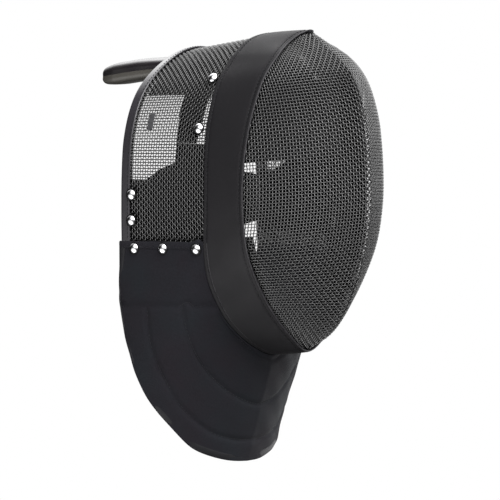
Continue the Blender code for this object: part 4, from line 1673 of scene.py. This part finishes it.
    def _forehead(self) -> None:
        """The curved panel across the forehead."""
        rows, columns = self.forehead_grid
        heights = np.linspace(*self.forehead_heights, rows)
        angles = np.linspace(0, math.pi / 2, columns)
        front, rear, normal = self.band.edges(self.band.steps_at(heights))
        share = self.forehead_setback / (rear[:, 1] - front[:, 1])[:, None]
        start = front + (rear - front) * share - normal * (COVER_INSET + self.forehead_gap)
        x, y, z = (start[:, i:i + 1] for i in range(3))
        goal = (heights - HEAD_SEAT_HEIGHT)[:, None]
        right = np.stack([x * np.cos(angles), y - self.forehead_bulge * np.sin(angles),
                          z + (goal - z) * np.sin(angles)], axis=2)
        right[:, -1, 0] = 0.0
        sheet = Sheet(np.concatenate([right, mirrored(right[:, -2::-1])], axis=1),
                      np.array(self.forehead_inside))
        self._pad("forehead_lining", "forehead_pad", self.forehead_thickness, sheet.points,
                  -sheet.normals, self.fill)


@dataclass
class SpringTongue(Piece):
    """The tongue behind the crown: a glossy sleeve on top of a softer pad, whose paler colour is
    partly painted light from below.
    """

    sleeve: Material
    # The pad's pale finish is partly its own grey and partly painted light from below.
    pad: Material
    steps: int = 120
    around: int = 44
    roundness: float = 0.62
    seam_share: float = 0.10
    seam_width: float = 0.16
    seam_pinch: float = 0.05
    plump_top: float = 0.38
    plump_bottom: float = 0.14
    firm_thickness: float = 0.0078
    half_girth: float = 0.018

    def build(self) -> None:
        """Lofts the tongue, with the sleeve on its upper half and the pad on its lower half,
        coloured paler as painted light from below.
        """
        rows = np.array(TONGUE_SECTIONS)
        at = np.linspace(0, len(rows) - 1, self.steps)
        path = spline(extended(np.array([place((0.0, *row[:2])) for row in rows])), at)
        half_width, thickness = (np.interp(at, np.arange(len(rows)), rows[:, i])[:, None]
                                 for i in (2, 3))
        angles = np.linspace(0, 2 * math.pi, self.around, endpoint=False)
        x, z = (np.sign(wave) * np.abs(wave) ** self.roundness
                for wave in (np.cos(angles), np.sin(angles)))
        pinch = 1 - self.seam_pinch * np.exp(-((z - self.seam_share) / self.seam_width) ** 2)
        plump = np.where(z > 0, self.plump_top, self.plump_bottom)
        swell = (thickness - self.firm_thickness).clip(0) * plump
        ring = np.stack([half_width * (x * pinch), np.zeros((self.steps, self.around)),
                         (thickness + swell) / 2 * z], axis=2)
        whole = capped(path[:, None] + ring, path[[0, -1]])
        flats = flat_map(lengths_along(whole[:, 0]), angles * self.half_girth)
        made = self.finish(MeshParts().add_grid(whole, wrap_columns=True, flats=flats),
                           "tongue_sleeve", self.sleeve, "trim_cloth", "spring_tongue",
                           closed=True)
        made.data.materials.append(self.pad)
        order = np.argsort(path[:, 1])
        # Faces below the middle line take the pale finish, which paints the light from below.
        for face in made.data.polygons:
            middle = np.interp(face.center.y, path[order, 1], path[order, 2])
            face.material_index = int(face.center.z < middle)


@dataclass
class Rivets(Piece):
    """The chromed dome rivets, each over a thin dark washer."""

    chrome: Material
    rubber: Material
    side: SideForm
    bib: BibForm
    radius: float = 0.0050
    height: float = 0.0030
    clearance: float = 0.0008
    around: int = 40
    dome_steps: int = 12
    yoke_reach: tuple[float, float] = (0.6, 0.2)
    yoke_grid: tuple[int, int] = (241, 61)
    side_reach: tuple[float, float] = (1.1, 1.0)
    side_grid: tuple[int, int] = (400, 200)
    rim: tuple[tuple[float, float], ...] = ((0.985, -0.0002), (0.90, -0.0004))
    washer: tuple[tuple[float, float], ...] = (
        (0.2, -0.0001), (1.16, -0.0001), (1.20, -0.0003), (1.16, -0.0006), (0.2, -0.0006))

    def _seat(self, rivet: RivetPlace) -> tuple[Array, Array]:
        """Finds where a rivet sits on the wall.

        Args:
            rivet: Its place, seen from the side.

        Returns:
            The point of the wall under it, and the wall's outward normal.
        """
        if rivet.on_yoke:
            grid = self.bib.grid(*map(np.linspace, (0, 0), self.yoke_reach, self.yoke_grid))
        else:
            grid = self.side.grid(*map(np.linspace, (0, 0), self.side_reach, self.side_grid), 0.0)
        spot = nearest_spot(grid, place((0.0, rivet.forward, rivet.height))[1:])
        return grid[spot], Sheet(grid).normals[spot]

    def _turned(self, base: Array, out: Array, section: Array) -> Array:
        """Turns a section round the way out of the wall.

        Args:
            base: The point that the section is measured from.
            out: The way out.
            section: Radii and rises, one pair for each row.

        Returns:
            The grid of points.
        """
        turns = np.linspace(0, 2 * math.pi, self.around, endpoint=False)[:, None]
        side_way = unit(np.cross(out, np.array([0.0, 0.0, 1.0])))
        ring = np.cos(turns) * side_way + np.sin(turns) * np.cross(side_way, out)
        return base + ring[None] * section[:, :1, None] + out * section[:, 1:, None]

    def build(self) -> None:
        """Turns every rivet and its washer."""
        bend = (self.height**2 + self.radius**2) / (2 * self.height)
        angle = np.linspace(0.0, math.asin(self.radius / bend), self.dome_steps)
        dome = np.stack([bend * np.sin(angle), bend * np.cos(angle) - bend + self.height], axis=1)
        scale = np.array([self.radius, 1.0])
        dome = np.concatenate([dome, np.array(self.rim) * scale])
        washer = np.array(self.washer) * scale
        for number, rivet in enumerate(RIVETS, start=1):
            seat, normal = self._seat(rivet)
            for half in Half:
                label, out = f"{half.value}_{number}", half.of(normal)
                base = half.of(seat) + out * self.clearance
                turned = self._turned(base, out, dome)
                close = capped(turned)[-1:]
                parts = MeshParts().add_grid(np.concatenate([turned, close]), wrap_columns=True)
                self.finish(parts, f"rivet_dome_{label}", self.chrome, "chrome",
                            f"rivet_{label}", closed=True)
                under = MeshParts().add_grid(self._turned(base, out, washer), wrap_rows=True,
                                             wrap_columns=True)
                self.finish(under, f"rivet_washer_{label}", self.rubber, "trim_cloth",
                            closed=True)


@dataclass
class SideTag(Piece):
    """The small plain tag sewn on the right side mesh."""

    tape: Material
    form: SideForm
    forward: float = -0.1130
    top: float = -0.0570
    width: float = 0.0065
    height: float = 0.0155
    depth: float = 0.0010
    waviness: float = 0.0001
    waves: float = 900.0
    grid: tuple[int, int] = (22, 12)
    wall_reach: float = 1.05
    wall_grid: tuple[int, int] = (600, 200)
    pad: Pad = field(default_factory=lambda: Pad(0.0008, 0.0006, 0.0012, seam_depth=0.0001))

    def build(self) -> None:
        """Makes the folded tape."""
        wall = self.form.grid(np.linspace(0, self.wall_reach, self.wall_grid[0]),
                              np.linspace(0, 1, self.wall_grid[1]), self.depth)
        normals = Sheet(wall).normals
        base = np.zeros((*self.grid, 3))
        for i, down in enumerate(np.linspace(0, self.height, self.grid[0])):
            for j, along in enumerate(np.linspace(0, self.width, self.grid[1])):
                goal = place((0.0, self.forward + along, self.top - down))[1:]
                spot = nearest_spot(wall, goal)
                wave = normals[spot] * self.waviness * math.sin(down * self.waves)
                base[i, j] = np.array([wall[spot][0], *goal]) + wave
        out = np.broadcast_to([-1.0, 0.0, 0.0], base.shape)
        self.finish(self.pad.make(base, out), "side_tag_tape", self.tape, "tag_cloth",
                    "side_tag", closed=True)


# Finishes


def add_node(tree: bpy.types.NodeTree, kind: str, inputs: dict[str | int, object] | None = None,
             **settings: object) -> bpy.types.Node:
    """Adds a shader node.

    Args:
        tree: The node tree that it joins.
        kind: Its type, without the prefix that all shader nodes share.
        inputs: The number, colour or socket that each of its inputs takes.
        settings: Its other properties.

    Returns:
        The node.
    """
    node = tree.nodes.new(f"ShaderNode{kind}")
    for name, value in settings.items():
        setattr(node, name, value)
    for name, value in (inputs or {}).items():
        feed(tree, value, node.inputs[name])
    return node


def feed(tree: bpy.types.NodeTree, value: object, target: bpy.types.NodeSocket) -> None:
    """Links a socket to an input, or sets the input to a value.

    Args:
        tree: The node tree.
        value: The socket or the value.
        target: The input that takes it.
    """
    if isinstance(value, bpy.types.NodeSocket):
        tree.links.new(value, target)
    else:
        target.default_value = value


def calculate(tree: bpy.types.NodeTree, operation: str, *values: object) -> bpy.types.NodeSocket:
    """Adds a Math node on sockets or numbers, and returns its output."""
    return add_node(tree, "Math", dict(enumerate(values)), operation=operation).outputs[0]


class Group:
    """A shader node group with named inputs and outputs."""

    def __init__(self, name: str, takes: dict[str, float | None], gives: Sequence[str]) -> None:
        """Starts a group.

        Args:
            name: The group's name.
            takes: Its inputs: each a number with a default, or a place where that is None.
            gives: Its outputs, which are numbers.
        """
        self.tree = bpy.data.node_groups.new(name, "ShaderNodeTree")
        self._start = self.tree.nodes.new("NodeGroupInput")
        self._end = self.tree.nodes.new("NodeGroupOutput")
        for socket, default in takes.items():
            kind = "NodeSocketVector" if default is None else "NodeSocketFloat"
            made = self.tree.interface.new_socket(name=socket, in_out="INPUT", socket_type=kind)
            if default is not None:
                made.default_value = default
        for socket in gives:
            self.tree.interface.new_socket(name=socket, in_out="OUTPUT",
                                           socket_type="NodeSocketFloat")

    def taken(self, name: str) -> bpy.types.NodeSocket:
        """What comes in at a named input."""
        return self._start.outputs[name]

    def give(self, name: str, value: bpy.types.NodeSocket) -> None:
        """Sends a value to a named output."""
        self.tree.links.new(value, self._end.inputs[name])


SLUB_SCALE = 420.0
SLUB_DETAIL = 3.0
CROSSING_SHADE = 0.12


def weave_group() -> bpy.types.NodeTree:
    """A plain weave on flat cloth: its height, and a shade that varies from thread to thread."""
    made = Group("plain_weave", {"Flat": None, "Threads": 1200.0, "Slub": 0.3},
                 ("Height", "Shade"))
    tree, flat = made.tree, made.taken("Flat")
    split = add_node(tree, "SeparateXYZ", {0: flat})
    turn = calculate(tree, "MULTIPLY", made.taken("Threads"), math.pi)
    across, along = (
        calculate(tree, "SINE", calculate(tree, "MULTIPLY", split.outputs[axis], turn))
        for axis in "XY")
    crossing = calculate(tree, "MULTIPLY", across, along)
    slub = add_node(tree, "TexNoise", {
        "Scale": SLUB_SCALE, "Detail": SLUB_DETAIL, "Vector": flat})
    rough = calculate(tree, "MULTIPLY", slub.outputs["Fac"], made.taken("Slub"))
    raised = calculate(tree, "MULTIPLY_ADD", crossing, 0.5, 0.5)
    made.give("Height", calculate(tree, "ADD", raised, rough))
    made.give("Shade", calculate(tree, "MULTIPLY_ADD", crossing, CROSSING_SHADE,
                                 slub.outputs["Fac"]))
    return tree


def mottle_group() -> bpy.types.NodeTree:
    """Broad soft patches over a surface, with finer ones in them."""
    made = Group("soft_mottle", {"Place": None, "Scale": 30.0}, ("Mask",))
    broad = add_node(made.tree, "TexNoise", {
        "Detail": 4.0, "Roughness": 0.6, "Vector": made.taken("Place"),
        "Scale": made.taken("Scale")})
    spread = add_node(made.tree, "MapRange", {
        "From Min": 0.3, "From Max": 0.7, "Value": broad.outputs["Fac"]})
    made.give("Mask", spread.outputs["Result"])
    return made.tree


@dataclass(frozen=True)
class Finish:
    """How a surface looks: its colours, gloss, weave and relief."""

    name: str
    colour: tuple[float, float, float]
    second: tuple[float, float, float]
    roughness: float
    roughness_spread: float = 0.0
    metallic: float = 0.0
    specular: float = 0.5
    ior: float = 1.5
    coat: float = 0.0
    coat_roughness: float = 0.3
    sheen: float = 0.0
    sheen_roughness: float = 0.5
    threads: float = 0.0
    thread_shade: float = 0.45
    weave_depth: float = 0.0
    mottle_scale: float = 30.0
    grain_scale: float = 0.0
    grain_depth: float = 0.0
    bump_strength: float = 0.6

    def make(self, weave: bpy.types.NodeTree, mottle: bpy.types.NodeTree) -> Material:
        """Builds the material.

        Args:
            weave: The plain weave's node group.
            mottle: The soft patches' node group.

        Returns:
            The material.
        """
        material = bpy.data.materials.new(self.name)
        material.use_nodes = True
        material.diffuse_color = (*self.colour, 1.0)
        tree = material.node_tree
        shader = tree.nodes["Principled BSDF"].inputs
        for name, value in (
                ("Metallic", self.metallic), ("Specular IOR Level", self.specular),
                ("IOR", self.ior), ("Coat Weight", self.coat),
                ("Coat Roughness", self.coat_roughness), ("Sheen Weight", self.sheen),
                ("Sheen Roughness", self.sheen_roughness), ("Roughness", self.roughness)):
            shader[name].default_value = value
        spot = add_node(tree, "TexCoord").outputs["Object"]
        patches = add_node(tree, "Group", node_tree=mottle)
        feed(tree, self.mottle_scale, patches.inputs["Scale"])
        feed(tree, spot, patches.inputs["Place"])
        mask = patches.outputs["Mask"]
        colour = add_node(tree, "Mix", {"Factor": mask, "A": (*self.colour, 1.0),
                                        "B": (*self.second, 1.0)},
                          data_type="RGBA").outputs["Result"]
        height = None
        if self.threads:
            flat = add_node(tree, "UVMap", uv_map="cloth").outputs["UV"]
            threads = add_node(tree, "Group", node_tree=weave)
            feed(tree, self.threads, threads.inputs["Threads"])
            feed(tree, flat, threads.inputs["Flat"])
            colour = add_node(tree, "Mix", {"Factor": self.thread_shade, "A": colour,
                                            "B": threads.outputs["Shade"]},
                              data_type="RGBA", blend_type="MULTIPLY").outputs["Result"]
            height = threads.outputs["Height"]
        if self.grain_scale:
            height = add_node(tree, "TexVoronoi", {
                "Scale": self.grain_scale, "Vector": spot}).outputs["Distance"]
        if height is not None:
            bump = add_node(tree, "Bump", {
                "Strength": self.bump_strength, "Distance": self.weave_depth or self.grain_depth,
                "Height": height})
            feed(tree, bump.outputs["Normal"], shader["Normal"])
        feed(tree, colour, shader["Base Color"])
        if self.roughness_spread:
            spread = add_node(tree, "MapRange", {
                "To Min": self.roughness - self.roughness_spread,
                "To Max": self.roughness + self.roughness_spread, "Value": mask})
            feed(tree, spread.outputs["Result"], shader["Roughness"])
        return material


WIRE_COAT = Finish("wire_coating", (0.0048, 0.0047, 0.0052), (0.0034, 0.0033, 0.0038), 0.26,
                   0.04, ior=1.95, mottle_scale=60.0)
TRIM_CLOTH = Finish("trim_cloth_black", (0.0106, 0.0096, 0.0116), (0.0082, 0.0075, 0.0093), 0.62,
                    0.05, specular=0.22, sheen=0.015, threads=1500.0, weave_depth=0.00012,
                    mottle_scale=14.0)
# Paler than the band's cloth, partly to paint the highlight along the band's edges.
PIPING_PAINTED_HIGHLIGHT = Finish("piping_cloth_painted_highlight", (0.040, 0.038, 0.042), (0.030, 0.028, 0.032), 0.50,
                      specular=0.3, threads=1800.0, weave_depth=0.00010)
RIM_VINYL = Finish("rim_vinyl_satin", (0.036, 0.0335, 0.039), (0.029, 0.027, 0.0315), 0.30, 0.04,
                   coat=0.6, coat_roughness=0.12, grain_scale=900.0, grain_depth=0.00005,
                   mottle_scale=20.0)
BIB_CLOTH = Finish("bib_cloth_black", (0.0150, 0.0174, 0.0216), (0.0180, 0.0157, 0.0202), 0.85,
                   0.05, specular=0.12, sheen=0.02, threads=1100.0, weave_depth=0.00020,
                   mottle_scale=18.0)
BIB_TAPE = Finish("bib_tape", (0.020, 0.020, 0.023), (0.016, 0.016, 0.018), 0.60,
                  specular=0.2, threads=1400.0, weave_depth=0.00015)
LINING_CLOTH = Finish("lining_cloth_black", (0.0050, 0.0050, 0.0055), (0.004, 0.004, 0.0044), 0.9,
                      specular=0.08, threads=900.0, weave_depth=0.00020)
SLEEVE_VINYL = Finish("tongue_vinyl", (0.016, 0.013, 0.017), (0.022, 0.020, 0.020), 0.36, 0.06,
                      coat=0.5, coat_roughness=0.15, grain_scale=700.0, grain_depth=0.00006,
                      mottle_scale=25.0)
# Paler than the sleeve: partly the pad's own grey, partly painted light from below.
TONGUE_PAD_PAINTED_UNDERLIGHT = Finish("tongue_pad_painted_underlight", (0.080, 0.074, 0.064), (0.064, 0.060, 0.052), 0.45, 0.05,
                    grain_scale=700.0, grain_depth=0.00006, mottle_scale=25.0)
THREAD = Finish("black_thread", (0.014, 0.014, 0.016), (0.018, 0.018, 0.020), 0.55, specular=0.2)
TAG_TAPE = Finish("tag_tape_grey", (0.075, 0.075, 0.08), (0.065, 0.065, 0.07), 0.7,
                  specular=0.2, threads=1600.0, weave_depth=0.0001)
WASHER_RUBBER = Finish("washer_dark", (0.004, 0.004, 0.004), (0.006, 0.006, 0.006), 0.6,
                       specular=0.1)
CHROME = Finish("rivet_chrome", (0.90, 0.90, 0.92), (0.84, 0.84, 0.86), 0.21, 0.03, metallic=1.0)


# The studio


class Glow(NamedTuple):
    """A broad soft light far off: the way to it from the mask, and its strength."""

    way: tuple[float, float, float]
    strength: float


@dataclass
class Studio:
    """A pale floor well below the mask, soft light all round and the camera."""

    azimuth: float = -51.0
    elevation: float = 4.0
    distance: float = 12.0
    centre: tuple[float, float, float] = (0.0, -0.0084, -0.1914)
    frame_width: float = 0.475
    sensor: float = 36.0
    floor_height: float = -0.95
    floor_rings: tuple[float, ...] = (0.0, 0.6, 1.5, 3.0)
    floor_sides: int = 96
    floor_colour: tuple[float, float, float, float] = (0.9, 0.9, 0.9, 1.0)
    floor_roughness: float = 0.9
    glow_power: float = 8.0
    glows: tuple[Glow, ...] = table(
        Glow,
        ((0.994, -0.105, 0.0), 4.35), ((0.777, 0.629, 0.0), 0.17),
        ((-0.549, -0.445, 0.707), 3.85), ((-0.074, -0.703, 0.707), 7.07),
        ((0.549, 0.445, 0.707), 4.68), ((-0.703, 0.074, -0.707), 7.0))

    def build(self) -> None:
        """Makes the floor, the light around the mask and the camera."""
        self._floor()
        self._world()
        self._camera()

    def _camera(self) -> None:
        """The camera, at the photograph's angle and far enough off to show no perspective."""
        camera = bpy.data.cameras.new("camera")
        camera.sensor_width = self.sensor
        camera.lens = self.sensor * self.distance / self.frame_width
        made = bpy.data.objects.new("camera", camera)
        bpy.context.scene.collection.objects.link(made)
        a, e = math.radians(self.azimuth), math.radians(self.elevation)
        back = Vector((math.sin(a) * math.cos(e), -math.cos(a) * math.cos(e), math.sin(e)))
        centre = Vector(self.centre)
        made.location = where = centre + back * self.distance
        made.rotation_mode = "QUATERNION"
        made.rotation_quaternion = (centre - where).to_track_quat("-Z", "Y")
        bpy.context.scene.camera = made
        bpy.context.scene.view_settings.view_transform = "Standard"

    def _floor(self) -> None:
        """A pale round floor."""
        turns = np.linspace(0, 2 * math.pi, self.floor_sides, endpoint=False)
        ring = np.stack([np.cos(turns), np.sin(turns), np.zeros(self.floor_sides)], axis=1)
        points = ring[None] * np.array(self.floor_rings)[:, None, None]
        points[..., 2] = self.floor_height
        made = MeshParts().add_grid(points, wrap_columns=True).build("floor")
        material = bpy.data.materials.new("floor_white")
        material.use_nodes = True
        shader = material.node_tree.nodes["Principled BSDF"]
        shader.inputs["Base Color"].default_value = self.floor_colour
        shader.inputs["Roughness"].default_value = self.floor_roughness
        made.data.materials.append(material)
        made.visible_diffuse = made.visible_glossy = False

    def _world(self) -> None:
        """White behind the mask, and broad soft glows for the light that falls on it."""
        world = bpy.data.worlds.new("studio")
        bpy.context.scene.world = world
        world.use_nodes = True
        tree = world.node_tree
        tree.nodes.clear()
        ways = add_node(tree, "TexCoord").outputs["Generated"]
        total = None
        for glow in self.glows:
            towards = add_node(tree, "VectorMath", {0: ways, 1: glow.way},
                               operation="DOT_PRODUCT").outputs["Value"]
            value = calculate(tree, "POWER", calculate(tree, "MAXIMUM", towards, 0.0),
                              self.glow_power)
            value = calculate(tree, "MULTIPLY", value, glow.strength)
            total = value if total is None else calculate(tree, "ADD", total, value)
        white = (1.0, 1.0, 1.0, 1.0)
        lit = add_node(tree, "Background", {"Color": white, "Strength": total})
        seen = add_node(tree, "Background", {"Color": white, "Strength": 1.0})
        camera_ray = add_node(tree, "LightPath").outputs["Is Camera Ray"]
        mix = add_node(tree, "MixShader", {0: camera_ray, 1: lit.outputs[0], 2: seen.outputs[0]})
        add_node(tree, "OutputWorld", {"Surface": mix.outputs[0]})


def main() -> None:
    """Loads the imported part, builds every piece over it and sets up the studio."""
    logging.basicConfig(level=logging.INFO, format="%(name)s: %(message)s")
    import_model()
    weave, mottle = weave_group(), mottle_group()

    def dressed(finish: Finish) -> Material:
        """Makes a finish into a material with the shared groups."""
        return finish.make(weave, mottle)

    wire, thread = dressed(WIRE_COAT), dressed(THREAD)
    trim, piping_and_painted_highlight = dressed(TRIM_CLOTH), dressed(PIPING_PAINTED_HIGHLIGHT)
    side, band, face, bib = SideForm(), BandForm(), FaceForm(), BibForm()
    FaceMesh(wire, face).build()
    SideMesh(wire, side, band).build()
    TrimBand(trim, piping_and_painted_highlight, thread, band).build()
    RimBinding(dressed(RIM_VINYL), thread, side).build()
    Bib(dressed(BIB_CLOTH), dressed(BIB_TAPE), thread, bib).build()
    Lining(dressed(LINING_CLOTH), side, band).build()
    SpringTongue(dressed(SLEEVE_VINYL), dressed(TONGUE_PAD_PAINTED_UNDERLIGHT)).build()
    Rivets(dressed(CHROME), dressed(WASHER_RUBBER), side, bib).build()
    SideTag(dressed(TAG_TAPE), side).build()
    Studio().build()


if __name__ == "__main__":
    main()
